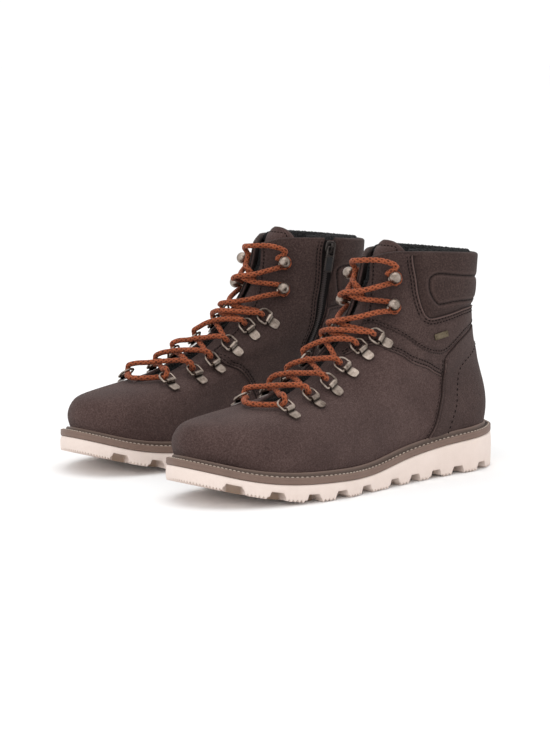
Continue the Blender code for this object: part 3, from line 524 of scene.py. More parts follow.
def facing_edge(v0, v1, outer):
    """The free edge of a facing from v0 to v1."""
    vs = np.linspace(v0, v1, 50)
    us = [at_half_width(v, np.interp(v, *zip(*HALF_GAP)), 1 if outer else -1) for v in vs]
    return even(np.c_[np.array(us) + (0 if outer else 1), vs])


def beside(line, distance, closed=False):
    """A line moved to its left over the surface."""
    t = tangents(upper(*line.T), closed)
    du, dv = frame_at(line)
    left = np.cross(unit(np.cross(du, dv)), t)
    return slide(line, left * np.broadcast_to(distance, line.shape[:1])[:, None])


def inside(points, loop):
    """Which (u, v) points lie inside a closed loop."""
    x, y = points[:, 0][:, None], points[:, 1][:, None]
    x0, y0 = loop.T
    x1, y1 = np.roll(loop, -1, 0).T
    cross = x < (x1 - x0) * (y - y0) / np.where(y1 == y0, 1e-12, y1 - y0) + x0
    return (((y0 > y) != (y1 > y)) & cross).sum(1) % 2 == 1


def distance_to(points, line, closed=True):
    """Distance in mm of points to a line of points, and the index of its nearest segment."""
    a = line if closed else line[:-1]
    b = np.roll(line, -1, 0) if closed else line[1:]
    ab = b - a
    size = np.maximum((ab ** 2).sum(1), 1e-9)
    near, index = np.empty(len(points)), np.empty(len(points), int)
    for k in range(0, len(points), 400):
        ap = points[k:k + 400, None] - a
        t = np.clip((ap * ab).sum(2) / size, 0, 1)
        d = ((ap - t[..., None] * ab) ** 2).sum(2)
        index[k:k + 400] = d.argmin(1)
        near[k:k + 400] = np.sqrt(d.min(1))
    return near, index


def seed_rows(loop, spacing):
    """Staggered rows of (u, v) points inside a closed loop, about spacing mm apart."""
    lo, hi = loop.min(0), loop.max(0)
    rows, v = [], lo[1]
    while v < hi[1]:
        du, dv = frame_at(np.array([[(lo[0] + hi[0]) / 2, v]]))
        step = spacing / np.linalg.norm(du)
        u = np.arange(lo[0] + (len(rows) % 2) * step / 2, hi[0], step)
        rows.append(np.c_[u, np.full(len(u), v)])
        v += 0.87 * spacing / np.linalg.norm(dv)
    seeds = np.concatenate(rows)
    return seeds[inside(seeds, loop)]


def panel(shape, segments, height, spacing=3.0, more=()):
    """Adds a sheet sewn on the upper; segments are the lines of its outline, anticlockwise.

    height(uv, away, edge) gives the height of points away mm in from the edge of that number.
    """
    foot, insets = -0.35, (0.3, 0.8, 1.4, 2.0, 2.6, 3.4, 4.4)
    loop = np.concatenate([s[:-1] for s in segments])
    label = np.concatenate([np.full(len(s) - 1, k) for k, s in enumerate(segments)])
    loop = beside(loop, 0.12, True)
    rim = upper(*loop.T)
    chosen = [loop]
    for d in insets:                                  # rings of points follow the outline
        ring = beside(loop, d, True)
        near, _ = distance_to(upper(*ring.T), rim)
        chosen.append(ring[(near > 0.96 * d) & inside(ring, loop)])
    seeds = seed_rows(loop, spacing)
    near, _ = distance_to(upper(*seeds.T), rim)
    seeds = seeds[near > insets[-1] + 0.5 * spacing]
    if more:                                          # lines that the mesh has to follow
        extra = np.concatenate([line[inside(line, loop)] for line in more])
        spots = upper(*extra.T)
        near, _ = distance_to(spots, rim)
        chosen.append(extra[near > 0.8])
        clear = np.array([((spots - s) ** 2).sum(1).min() for s in upper(*seeds.T)])
        seeds = seeds[clear > (0.5 * spacing) ** 2]
    points = np.concatenate(chosen + [seeds])
    tris = triangles(points * (400.0, 190.0), len(loop))      # u and v to about mm
    away, index = distance_to(upper(*points.T), rim)
    away[:len(loop)] = 0
    high, tone = height(points, away, label[index])
    top, low = raised(points, high), raised(points, foot)
    n, base = len(loop), len(points)
    faces = tris + [[k + base for k in f[::-1]] for f in tris]
    faces += [[j, j + base, (j + 1) % n + base, (j + 1) % n] for j in range(n)]
    shape.add(np.concatenate([top, low]), faces, np.concatenate([tone, tone]))
    return shape


def sewn(base, beads=(), rows=None, free=()):
    """Height and tone of a panel: rounded at its edge with painted shade along it, raised on a
    folded bead with a painted highlight on it, drawn in at its stitches with painted shade in
    their dips. The edges in free run on into the next piece."""
    rows = rows or {}

    def height(uv, away, edge):
        rim, bead = np.exp(-(away / 0.35) ** 2), np.exp(-((away - 0.8) / 0.6) ** 2)
        rim = rim * ~np.isin(edge, list(free))
        bead = bead * np.isin(edge, list(beads))
        h = base * (1 - 0.5 * rim) + 0.6 * bead
        # painted shade along the rounded edge; negative tone, a painted highlight, on the bead
        tone = 0.9 * rim - 0.9 * bead * (away > 0.2)
        for k, distances in rows.items():
            for d in distances:
                row = (edge == k) * np.exp(-((away - d) / 0.55) ** 2)
                # painted shade in the dip along each row of stitches
                h, tone = h - 0.4 * row, tone + 0.45 * row
        return h, tone
    return height


def stitches(shape, line, height, step=STITCH_STEP, length=STITCH, thick=THREAD):
    """A row of stitches along a line of (u, v) points."""
    uv = even(line, step)
    stitch_row(shape, raised(uv, height), upper_normal(*uv.T), length, thick)


def stitch_row(shape, centre, normal, length, thick):
    """A stitch at every centre: a short thread that dives in at both ends."""
    along = unit(np.gradient(centre, axis=0))
    over = np.cross(normal, along)
    around = 6
    w = 2 * math.pi * np.arange(around) / around
    rows = [(-0.5, 0.35, -0.30), (-0.33, 0.95, 0.0), (0.0, 1.1, 0.07), (0.33, 0.95, 0.0),
            (0.5, 0.35, -0.30)]
    local = np.array([(a * length, s * thick / 2 * math.cos(q), s * thick / 2 * math.sin(q) + h)
                      for a, s, h in rows for q in w])
    body = (centre[:, None] + along[:, None] * local[None, :, :1]
            + over[:, None] * local[None, :, 1:2] + normal[:, None] * local[None, :, 2:])
    size = len(rows) * around
    one = grid_faces(len(rows), around, close_u=True)
    one += [list(range(around))[::-1], list(range(size - around, size))]
    shape.add(body, [[k + m * size for k in f] for m in range(len(centre)) for f in one])


# ---------------------------------------------------------------- sole
def outline_rings(levels, count):
    """Closed rings round the sole, from pairs of an inset and the height along it."""
    edges = [(sole_edge(inset, count), height) for inset, height in levels]
    return [np.c_[edge, height(edge)] for edge, height in edges]


def from_notch(x):
    """Distance along the foot to the nearest notch between the lugs."""
    return np.min([np.abs(x - n) for n in NOTCH_X], axis=0)


def cap(shape, ring, stations, height):
    """Closes a ring round the sole with a plate of points at a height."""
    x, y = np.meshgrid(np.unique(stations), np.arange(-60, 61, 3.5), indexing="ij")
    seeds = np.c_[x.ravel(), y.ravel()]
    seeds = seeds[inside(seeds, ring[:, :2])]
    near, _ = distance_to(np.c_[seeds, np.zeros(len(seeds))], ring * (1, 1, 0))
    points = np.concatenate([ring[:, :2], seeds[near > 1.0]])
    z = height(points)
    z[:len(ring)] = ring[:, 2]
    shape.add(np.c_[points, z], triangles(points, len(ring)))


def build_outsole():
    """Cream wedge sole: smooth walls, notches between its lugs and small teeth below, with
    painted shade deep in the notches and between the teeth.
    """
    step = 0.75
    count = int(round(OUTLINE_LENGTH / step))
    notch = np.interp(from_notch(sole_edge(2.5, count)[:, 0]), [4.4, 6.0, 7.2],
                      [NOTCH_DEPTH, 1.6, 0.0])
    wave = np.abs((np.arange(count) * step / TOOTH_PITCH) % 1.0 - 0.5) * 2
    teeth = TOOTH_HEIGHT * wave * (1 - notch / NOTCH_DEPTH)
    ground, lid = partial(on_sole, sole_bottom), partial(on_sole, sole_top)

    def low_edge(edge):
        return ground(edge) + notch + teeth

    def inner_edge(edge):
        return ground(edge) + teeth

    levels = [(13.4, ground), (10.4, inner_edge),
              (10.1, lambda e: 0.3 * ground(e) + 0.7 * low_edge(e)),
              (9.4, low_edge), (0.3, low_edge), (0.0, lambda e: low_edge(e) + 0.4)]
    for f in (0.15, 0.35, 0.55, 0.75, 0.92):
        levels.append((-0.5 * math.sin(math.pi * f),
                       lambda e, f=f: low_edge(e) * (1 - f) + (lid(e) - 0.8) * f))
    levels += [(0.1, lambda e: lid(e) - 0.6), (0.7, lid), (9.0, lid)]
    rings = outline_rings(levels, count)
    # painted shade in the notches and between the teeth, strongest at the bottom rings
    dark = np.array([1.0, 1.0, 0.9, 0.8, 0.25] + [0.0] * (len(levels) - 5))[:, None]
    tone = notch / NOTCH_DEPTH * dark + 0.5 * teeth / TOOTH_HEIGHT * (dark > 0.2)
    shape = Shape()
    shape.add(rings, grid_faces(len(rings), count, close_u=True), tone)

    # shallow grooves run across the tread from notch to notch
    groove, ease, depth, half_length = 2.4, 1.0, 2.2, 34
    edges = [n + side for n in NOTCH_X for side in
             (-groove - ease, -groove, groove, groove + ease)]

    def tread(points):
        x, y = points.T
        cut = np.interp(from_notch(x), [groove, groove + ease], [depth, 0.0])
        return sole_bottom(x) + cut * (np.abs(y) < half_length)

    cap(shape, rings[0], edges + list(np.arange(6, 300, 4.1)), tread)
    cap(shape, rings[-1], np.arange(6, 300, 9.0), lambda p: sole_top(p[:, 0]))
    weld(shape)
    return shape


def weld(shape):
    """Merges points that coincide, so that parts of a skin share their seam."""
    points, tones = np.concatenate(shape.points), np.concatenate(shape.tones)
    _, first, index = np.unique(np.round(points, 4), axis=0, return_index=True,
                                return_inverse=True)
    index = index.ravel()
    shape.faces = [[int(index[k]) for k in f] for f in shape.faces]
    shape.points, shape.tones, shape.count = [points[first]], [tones[first]], len(first)


def build_band(profile):
    """A ring round the foot: profile is (inset, height over the sole's top, tone of painted
    shade) points.
    """
    count = int(round(OUTLINE_LENGTH / 0.9))
    levels = [(inset, lambda edge, rise=rise: on_sole(sole_top, edge) + rise)
              for inset, rise, _ in profile]
    shape = Shape()
    shape.add(outline_rings(levels, count), grid_faces(len(levels), count, True, True),
              np.repeat([tone for _, _, tone in profile], count))
    return shape


def build_welt():
    """Welt: a stitched edge, a groove and the broad bead that hides its join to the upper."""
    low, top = WELT_LOW, WELT_TOP
    # third values: painted shade in the stitch channel, the groove, and the bead's flank and back
    profile = [(1.0, low, 0), (0.0, low + 0.02, 0), (-0.1, low + 0.3, 0), (-0.1, top - 0.7, 0),
               (0.15, top - 0.2, 0), (0.7, top, 0.2), (1.1, top - 0.15, 0.6),
               (1.9, top - 0.15, 0.6), (2.3, top, 0.3), (2.8, top - 0.1, 0.6),
               (3.1, top - 0.8, 1.3), (3.4, top - 0.8, 1.3)]
    profile += [(3.8, top - 0.3, 0.8), (3.95, top + 0.6, 0.6), (4.15, top + 1.7, 0.6),
                (4.5, top + 2.5, 0.35), (5.0, top + 2.95, 0.0), (5.7, top + 2.9, 0.2),
                (6.8, top + 2.2, 1.0)]
    return build_band(profile + [(8.2, top - 0.6, 1), (11.5, top - 0.8, 1), (11.5, low, 1)])


def build_welt_stitches():
    """Pale thread along the edge of the welt."""
    edge = sole_edge(1.5, 188)
    centre = np.c_[edge, on_sole(sole_top, edge) + WELT_TOP]
    shape = Shape()
    stitch_row(shape, np.vstack([centre, centre[:1]]), np.array([[0, 0, 1.0]]), 2.5, 0.95)
    return shape


# ---------------------------------------------------------------- seams of the upper
# every seam as (x, z) points of the side view, from the facings back or from the top down
COLLAR_FRONT = [(89, 168), (88.6, 159), (87.8, 150), (87.6, 138), (86.7, 127.6), (85.6, 123.2)]
COLLAR_LOW = [(83.8, 120.9), (79.8, 120.3), (69.3, 121.9), (58.7, 123.8), (46.2, 125.8),
              (29, 126)]
COLLAR_LOW_IN = [(71.4, 113.6), (63.6, 114.9), (48.1, 116.2), (34, 119.5)]
OVAL = [(30, 148.9), (44, 150.2), (56.9, 151.5), (70.8, 153.2), (76.5, 151.9), (79.2, 148.7),
        (79.8, 142.2), (78.4, 135.6), (75.2, 130.7), (71.9, 130.1), (58.1, 131.5),
        (44, 131.4), (31.7, 130.9), (25.5, 133.5), (23, 139.5), (24.5, 146)]
OVAL_IN = [(30, 144.5), (41, 146), (55.4, 146.5), (61, 144.6), (62.9, 140.4), (63.0, 134),
           (61.8, 126.6), (58.3, 123.3), (53.1, 122.8), (40, 124.2), (30, 126.5),
           (25, 130.5), (23.5, 136), (25, 142)]
PINKED = [(122, 117.6), (116.8, 114.4), (113.1, 112.1), (107, 107.9), (103.3, 104.7),
          (98, 100.6), (90.2, 96.2), (82.1, 93.7), (73.4, 92.8), (66.4, 94.6), (58.2, 99.1),
          (45.6, 106.5), (27, 111.2)]
COUNTER_TOP = [(27, 109.6), (48.7, 102.4), (60.7, 95.4), (66.2, 91.6)]
COUNTER_FRONT = [(69.2, 88.9), (69.7, 84.5), (68.1, 77.7), (71.1, 63.8), (76.4, 52.2),
                 (82.8, 38.6), (91.9, 27)]
COUNTER_INNER = [(19.8, 94), (38.2, 86), (47.1, 79.3), (52.2, 66.5), (56.2, 52.8), (62.2, 41),
                 (67.2, 30)]
COUNTER_FRONT_IN = [(71.4, 113.6), (72.4, 108), (74.7, 99.4), (74.7, 90), (76, 80), (79, 66),
                    (83, 50), (88, 37), (93, 26)]
DIAGONAL = [(131, 102.6), (123.7, 99.6), (111.4, 93.1), (92.4, 84), (80, 78.6), (69.6, 74.2)]
ZIP_REAR = [(71.4, 113.6), (70.1, 130.7), (65.6, 145.6), (64.4, 158), (63.6, 170)]
ZIP_FRONT = [(72.2, 170), (74.5, 156), (77, 136), (81.7, 116), (85.4, 96), (88.0, 82)]
ZIP_FOOT, ZIP_FOOT_Z = [(86.6, 78.4), (82, 76.6), (77.6, 78.4)], 80.5
# the seam of the vamp on the inner side, which turns over the instep, in (u, v)
VAMP_SEAM = [(0.698, 0.0), (0.711, 0.12), (0.735, 0.265), (0.782, 0.40), (0.855, 0.515)]


def at_rim(uv):
    """The line with its end moved to the rim."""
    return uv[:-1] + [(uv[-1][0], 1.0)]


def at_foot(uv):
    """The line with its end moved to the foot of the upper."""
    return uv[:-1] + [(uv[-1][0], 0.0)]


def seam_lines():
    """All seams as smooth (u, v) lines."""
    out, inn = partial(on_side, outer=True), partial(on_side, outer=False)
    front = at_rim(out(COLLAR_FRONT[::-1]))
    low = out(COLLAR_LOW)
    low_in = inn(COLLAR_LOW_IN[::-1])
    rear = at_rim(inn(ZIP_REAR))
    corner = front[0]
    line = {}
    line["collar_front"] = curve(front)                                   # upward
    line["collar_low_outer"] = curve([corner] + low + [at_back(123.6)])
    line["collar_low_inner"] = curve([at_back(123.6)] + low_in[:-1] + [rear[0]])
    line["zip_rear"] = curve(rear)
    line["zip_front"] = curve(at_rim(inn(ZIP_FRONT[::-1])))               # upward
    pinked = facing_edge(0.765, 0.77, True)[0]
    line["pinked"] = curve([pinked] + out(PINKED) + [at_back(112.2)])
    line["counter_top"] = curve([at_back(110.6)] + out(COUNTER_TOP + COUNTER_FRONT[:1]), 1.0)
    line["counter_front"] = curve(at_foot(out(COUNTER_FRONT)))            # downward
    line["counter_inner"] = curve([at_back(96)] + out(COUNTER_INNER))
    line["counter_front_in"] = curve([rear[0]] + at_foot(inn(COUNTER_FRONT_IN[1:])))
    diagonal = facing_edge(0.655, 0.66, True)[0]
    line["diagonal"] = curve([diagonal] + out(DIAGONAL))
    line["vamp"] = curve(VAMP_SEAM + [facing_edge(0.59, 0.6, False)[0]])     # upward
    return line


def oval(points, outer):
    """A closed line on one side of the boot."""
    t = np.linspace(0, len(points), 400, endpoint=False)
    return even(spline(on_side(points, outer), t, True))


LINE = seam_lines()
OVALS = [oval(OVAL, True), oval(OVAL_IN, False)]


def rim(u0, u1):
    """Line along the rim."""
    return even([(u0, 1.0), (u1, 1.0)])


def back(z0, z1):
    """Line up or down the heel."""
    return even([at_back(z0), at_back(z1)])


def skin_grid(high, low, cols=230, below=26, above=44, top=1.0, fluff=0.0, tuck=0.0):
    """A closed sheet round the foot and leg, open at the throat between the facings."""
    rows_v = np.concatenate([np.linspace(0, THROAT_V, below, endpoint=False),
                             np.linspace(THROAT_V, top, above)])
    c = np.concatenate([[0, 0.0009, 0.0024], np.linspace(0.006, 0.994, cols - 6),
                        [0.9976, 0.9991, 1.0]])
    outs, ins = [], []
    for v in rows_v:
        if v <= THROAT_V:
            u = c.copy()
        else:
            gap = np.interp(v, *zip(*HALF_GAP)) + tuck
            u0, u1 = at_half_width(v, gap, 1), 1 + at_half_width(v, gap, -1)
            u = u0 + (u1 - u0) * c
        ease = np.interp(np.minimum(c, 1 - c), [0, 0.0009, 0.0024], [0.7, 0.2, 0.0])
        ease = ease * (v > THROAT_V) + 0.5 * (abs(v - top) < 1e-9)
        uv = np.c_[u, np.full(len(u), v)]
        wave = 0.0
        if fluff:
            wave = fluff * (np.sin(u * 610 + 3 * np.sin(v * 170)) * np.sin(v * 330 + 5 * u * 40)
                            + 0.6 * np.sin(u * 977 + v * 811))
        outs.append(raised(uv, high - ease))
        ins.append(raised(uv, low + wave))
    n, m = len(rows_v), len(c)
    key = np.arange(n * m).reshape(n, m)
    key[:below + 1, -1] = key[:below + 1, 0]             # closed below the throat
    key = np.stack([key, key + n * m])
    faces = []
    for r in range(n - 1):
        for j in range(m - 1):
            a, b, d, e = key[:, r, j], key[:, r, j + 1], key[:, r + 1, j + 1], key[:, r + 1, j]
            faces += [[a[0], b[0], d[0], e[0]], [e[1], d[1], b[1], a[1]]]
    for j in range(m - 1):                               # foot and rim
        faces.append([key[0, 0, j + 1], key[0, 0, j], key[1, 0, j], key[1, 0, j + 1]])
        faces.append([key[0, -1, j], key[0, -1, j + 1], key[1, -1, j + 1], key[1, -1, j]])
    for r in range(below, n - 1):                        # free edges of the facings
        faces.append([key[0, r, 0], key[0, r + 1, 0], key[1, r + 1, 0], key[1, r, 0]])
        faces.append([key[0, r + 1, -1], key[0, r, -1], key[1, r, -1], key[1, r + 1, -1]])
    faces = [[k for i, k in enumerate(f) if k != f[i - 1]] for f in np.array(faces).tolist()]
    shape = Shape()
    points = np.concatenate([np.concatenate(outs), np.concatenate(ins)])
    used = np.unique([k for f in faces for k in f])
    new = np.full(len(points), -1)
    new[used] = np.arange(len(used))
    shape.add(points[used], [[int(new[k]) for k in f] for f in faces if len(f) > 2])
    return shape


def build_middle():
    """The thin panel over the ankle that ends in the diagonal seam."""
    top = facing_edge(0.66, 0.80, True)
    hidden = on_side([(120, 121), (112, 115), (103, 108.4), (94, 102), (84, 98), (73, 97),
                      (64, 100)], True)
    side_up = on_side([(68.4, 78.5), (70.0, 85)], True)
    seam = LINE["diagonal"].copy()
    seam[0] = top[0]
    rear = curve([seam[-1]] + side_up + [hidden[-1]])
    return panel(Shape(), [seam, rear, curve(hidden[::-1] + [tuple(top[-1])]), top[::-1]],
                 sewn(FOLD, (0,), {0: TWIN_ROWS}))


def build_quarter():
    """Shaft panels: the outer one has a pinked lower edge, the inner one reaches the foot."""
    shape = Shape()
    pinked = even(LINE["pinked"], 1.2)
    jut = np.where(np.arange(len(pinked)) % 2, 0.55, -0.55)
    jut[[0, -1]] = 0
    pinked = beside(pinked, jut)
    collar_u = LINE["collar_front"][-1][0]
    face = facing_edge(0.765, 1.0, True)
    pinked[0] = face[0]
    panel(shape, [pinked, back(112.2, 123.6), LINE["collar_low_outer"][::-1],
                  LINE["collar_front"], rim(collar_u, face[-1][0]), face[::-1]],
          sewn(PANEL, (2, 3), {0: NEAR_ROW, 2: (2.3, 4.6), 3: (2.3, 4.6), 5: NEAR_ROW}, (4,)))
    face = facing_edge(0.59, 1.0, False)
    vamp = LINE["vamp"].copy()
    vamp[-1] = face[0]
    counter, front = LINE["counter_front_in"], LINE["zip_front"]
    counter = counter[int(np.argmax(upper(*counter.T)[:, 2] < ZIP_FOOT_Z)):]
    zip_foot = curve([tuple(front[0])] + on_side(ZIP_FOOT, False) + [tuple(counter[0])])
    panel(shape, [even([(counter[-1][0], 0.0), (vamp[0][0], 0.0)]), vamp, face,
                  rim(face[-1][0], front[-1][0]), front[::-1], zip_foot, counter],
          sewn(PANEL, (1,), {1: TWIN_ROWS, 2: NEAR_ROW, 4: TWIN_ROWS, 5: (2.2,)}, (3,)))
    return shape


def build_counter():
    """Heel counter, which runs forward to the zip on the inner side."""
    front, inner = LINE["counter_front"], LINE["counter_front_in"]
    return panel(Shape(), [even([(front[-1][0], 0.0), (inner[-1][0], 0.0)]), inner[::-1],
                           LINE["collar_low_inner"][::-1], back(123.6, 110.6),
                           LINE["counter_top"], front],
                 sewn(PANEL, (1, 5), {1: NEAR_ROW, 2: NEAR_ROW, 5: NEAR_ROW}))


def collar_height(uv, away, edge):
    """Padded collar with a quilted oval on each side, with painted shade along its seams and in
    the quilting grooves and a faint painted highlight beside the grooves.
    """
    points = upper(*uv.T)
    away = np.min([distance_to(points, upper(*LINE[name].T), False)[0] for name in
                   ("collar_front", "collar_low_outer", "collar_low_inner", "zip_rear")], axis=0)
    h = 0.7 + (COLLAR_PAD - 0.5) * (1 - np.exp(-(away / 3.2) ** 2))
    # painted shade along the collar's seams
    tone = 0.9 * np.exp(-(away / 0.5) ** 2)
    for loop in OVALS:
        near, _ = distance_to(points, upper(*loop.T))
        within = inside(uv, loop)
        h = h - 1.5 * np.exp(-(near / 1.2) ** 2) * (away > 0.1)
        h = h + within * 0.8 * (1 - np.exp(-(near / 4.0) ** 2))
        # painted shade in the quilting groove, a faint painted highlight on its shoulders
        tone = tone + 0.9 * np.exp(-(near / 0.55) ** 2) - 0.3 * np.exp(-((near - 2.0) / 0.8) ** 2)
    return h, tone


def build_collar():
    low = np.vstack([LINE["collar_low_outer"][:-1], LINE["collar_low_inner"]])
    more = [beside(loop, d, True) for loop in OVALS
            for d in (-3.2, -1.8, -0.8, 0.0, 0.8, 1.8, 3.2)]
    rear, front = LINE["zip_rear"], LINE["collar_front"]
    return panel(Shape(), [low, rear, rim(rear[-1][0], front[-1][0]), front[::-1]],
                 collar_height, 2.4, more)


def build_seams():
    """Self-coloured thread of every seam."""
    shape = Shape()
    top = PANEL - 0.2
    for name, distances, height in (
            ("collar_low_outer", (-2.3, -4.6), top), ("collar_front", (2.3, 4.6), top),
            ("pinked", (2.4,), top), ("counter_front", (-2.4,), top),
            ("counter_front_in", (2.4,), top), ("collar_low_inner", (-2.4,), top),
            ("counter_inner", (0.0,), PANEL + 0.08), ("diagonal", TWIN_ROWS, FOLD - 0.2),
            ("vamp", TWIN_ROWS, top), ("zip_front", (-2.2, -4.6), top)):
        line = LINE[name][2:-2]
        if name == "counter_inner":                  # a row of longer stitches on its own
            stitches(shape, line, height, 4.2, 2.4, 0.85)
            continue
        thin = name in ("counter_front", "counter_front_in", "collar_low_inner")
        for d in distances:
            stitches(shape, beside(line, d), height, thick=0.45 if thin else THREAD)
    for outer in (True, False):
        line = facing_edge(0.78 if outer else 0.6, 0.985, outer)
        stitches(shape, beside(line, -2.4 if outer else 2.4), top)
    for loop in OVALS:
        stitches(shape, np.vstack([loop, loop[:1]]), COLLAR_PAD - 1.5, 3.2)
    return shape


def roll(shape, u0, u1, outer_height, inner_height, rise, step=1.6, low=-1.2, fluff=0.0):
    """A rounded edge along the rim between two heights over the upper."""
    uv = even([(u0, 1.0), (u1, 1.0)], step)
    p, n = upper(*uv.T), upper_normal(*uv.T)
    up = unit(p - upper(uv[:, 0], uv[:, 1] - 0.015))
    a, b = outer_height(uv), np.broadcast_to(inner_height, len(uv))
    arc = np.linspace(0, math.pi, 13)
    mid, half = (a + b) / 2, (a - b) / 2
    wave = np.ones((len(uv), len(arc)))
    if fluff:
        k, m = np.arange(len(uv))[:, None], np.arange(len(arc))[None]
        wave = 1 + fluff * (np.sin(k * 1.9 + 2.2 * np.sin(m * 1.3)) + np.sin(k * 0.83 + m * 2.1))
    across = mid[:, None] + half[:, None] * np.cos(arc) * wave
    height = rise * np.sin(arc) * wave
    across = np.c_[across, b, a]
    height = np.c_[height, np.full((len(uv), 2), low)]
    shape.loft(p[:, None] + n[:, None] * across[..., None] + up[:, None] * height[..., None])


def build_rim():
    """Bound top edge, in two runs that leave the zip free."""
    shape = Shape()
    front = LINE["collar_front"][-1][0]

    def outer_height(uv):
        return np.interp(uv[:, 0], [front - 0.004, front + 0.012, 0.70, 0.715],
                         [PANEL, COLLAR_PAD + 0.2, COLLAR_PAD + 0.2, 1.2])

    start, end = facing_edge(0.99, 1.0, True)[-1][0], facing_edge(0.99, 1.0, False)[-1][0]
    roll(shape, start, LINE["zip_rear"][-1][0] - 0.001, outer_height, -2.6, 2.2)
    roll(shape, LINE["zip_front"][-1][0] + 0.001, end, lambda uv: np.full(len(uv), PANEL),
         -2.6, 2.0)
    return shape


def build_lining():
    """Fleece: a soft sheet inside, and its roll along the rim."""
    shape = skin_grid(-4.9, -7.6, cols=300, below=18, above=80, top=0.985, fluff=0.35, tuck=1.0)
    roll(shape, LINE["collar_front"][-1][0] - 0.01, 0.80, lambda uv: np.full(len(uv), -2.9),
         -8.4, 4.0, 1.0, -2.4, 0.07)
    return shape


def tongue_sheet(rows, cols):
    """Middle surface of the tongue and its normals, on a grid."""
    s, t = np.linspace(0, 1, 16), np.linspace(-1, 1, 9)
    half = TONGUE_HALF_WIDTH * (1 - 0.12 * s)
    pts = [[tongue_point(a, b * h) for b in t] for a, h in zip(s, half)]
    mid = np.array([[q[0] for q in row] for row in pts])
    nrm = np.array([[q[1] for q in row] for row in pts])
    both = np.concatenate([mid, nrm], 2)
    both = spline(both.reshape(len(s), -1), np.linspace(0, len(s) - 1, rows))
    both = both.reshape(rows, len(t), 6).transpose(1, 0, 2).reshape(len(t), -1)
    both = spline(both, np.linspace(0, len(t) - 1, cols)).reshape(cols, rows, 6)
    return both.transpose(1, 0, 2)[..., :3], unit(both.transpose(1, 0, 2)[..., 3:])


def tongue_point(s, t):
    """Middle of the tongue: s from the throat (0) to its top (1), t across in mm."""
    v = 0.37 + 0.72 * s
    vc = min(v, 1.0)
    front = upper(0.0, vc)
    up = unit(upper(0.0, vc) - upper(0.0, vc - 0.03))
    n = unit((up[2], 0, -up[0]))
    depth = np.interp(s, [0, 0.1, 0.5, 0.62, 0.8, 0.9, 1.0], [9, 11, 11, 12, 13.5, 14, 14])
    side = 1 if t >= 0 else -1
    edge = upper(at_half_width(vc, min(abs(t), 24), side), vc) if abs(t) > 0.1 else front
    fall = front - edge
    flat = np.interp(s, [0, 0.6, 1.0], [1.0, 0.8, 0.35])
    p = front - n * (depth + (fall @ n) * flat) - up * ((fall @ up) * flat)
    p = p + unit((-0.38, 0, 0.93)) * max(0, v - 1) * (len(HOOPS) - 1) * HOOP_RISE
    p[1] = centre_y(vc) + t
    return p, n


def build_tongue():
    """Padded tongue with rounded top corners and a sewn border."""
    rows, cols = 110, 41
    mid, nrm = tongue_sheet(rows, cols)
    s = np.linspace(0, 1, rows)[:, None]
    t = np.linspace(-1, 1, cols)[None]
    from_top = (1 - s) * TONGUE_LENGTH
    corner, curl = 12.0, 45.0             # how far below its top it narrows and bends down
    narrow = 1 - 0.34 * np.clip(1 - from_top / corner, 0, 1) ** 2.2
    centre = mid[:, cols // 2][:, None]
    mid = centre + (mid - centre) * narrow[..., None]
    mid[..., 2] -= (5.5 + 6.0 * abs(t) ** 2.2) * np.clip(1 - from_top / curl, 0, 1)
    edge = np.minimum((1 - abs(t)) * TONGUE_HALF_WIDTH * 0.9, from_top)
    fade = np.interp(s, [0, 0.1, 0.6, 0.75, 1], [0.2, 1, 1, 0.7, 0.5])
    pad = 4.4 * fade * (1 - np.exp(-(np.maximum(edge - 4.0, 0) / 4.0) ** 2))
    front = 0.2 + 0.9 * (1 - np.exp(-(edge / 1.0) ** 2)) + pad
    front = front - 0.5 * np.exp(-((edge - 4.0) / 0.6) ** 2)
    rear = -1.1 - 1.2 * (1 - np.exp(-(edge / 1.5) ** 2))
    top = mid + nrm * front[..., None]
    low = mid + nrm * rear[..., None]
    shape, stitching = Shape(), Shape()
    shape.loft(np.concatenate([top, low[:, ::-1]], 1))
    border = [(r, 6) for r in range(36, rows - 3)] + [(rows - 4, c) for c in range(7, cols - 7)]
    border += [(r, cols - 7) for r in range(rows - 4, 35, -1)]
    line = np.array([top[r, c] for r, c in border])
    normal = np.array([nrm[r, c] for r, c in border])
    along = lengths(line)
    at = np.arange(0, along[-1], STITCH_STEP)
    line, normal = sample(line, along, at), unit(sample(normal, along, at))
    stitch_row(stitching, line + normal * 0.1, normal, STITCH, THREAD)
    return shape, stitching


# ---------------------------------------------------------------- lacing hardware
def ring_frame(post):
    """Fold of the plate, and the ring's axes: reach to the middle, width along the row."""
    _, _, p, across, along, n = post
    fold = p + across * 5.2 + n * 3.5
    for lift in np.radians(np.arange(RING_LIFT, 40, 1.5)):
        reach = across * math.cos(lift) + n * math.sin(lift)
        if over_surface(fold + reach * RING_REACH)[2] >= BOW_HEIGHT:
            break
    normal = np.cross(reach, along)
    return fold, reach, along, normal * (1 if normal @ n > 0 else -1)


def build_ring(post):
    """A D-shaped wire ring: a straight bar in the plate's fold and a round bow."""
    fold, reach, along, _ = ring_frame(post)
    half = RING_WIDTH / 2
    straight = RING_REACH - half * 0.8
    path = [fold + along * a for a in np.linspace(-half + 1.0, half - 1.0, 9)]
    for w in np.linspace(0, math.pi / 2, 6)[1:]:         # rounded corner into the side
        path.append(fold + along * (half - 1.0 + math.sin(w)) + reach * (1.0 - math.cos(w)))
    for w in np.linspace(0, math.pi, 26):
        path.append(fold + reach * (straight + half * 0.8 * math.sin(w))
                    + along * half * math.cos(w))
    for w in np.linspace(math.pi / 2, 0, 6)[:-1]:
        path.append(fold - along * (half - 1.0 + math.sin(w)) + reach * (1.0 - math.cos(w)))
    shape = Shape()
    shape.tube(path, RING_WIRE / 2, 14, closed=True)
    return shape


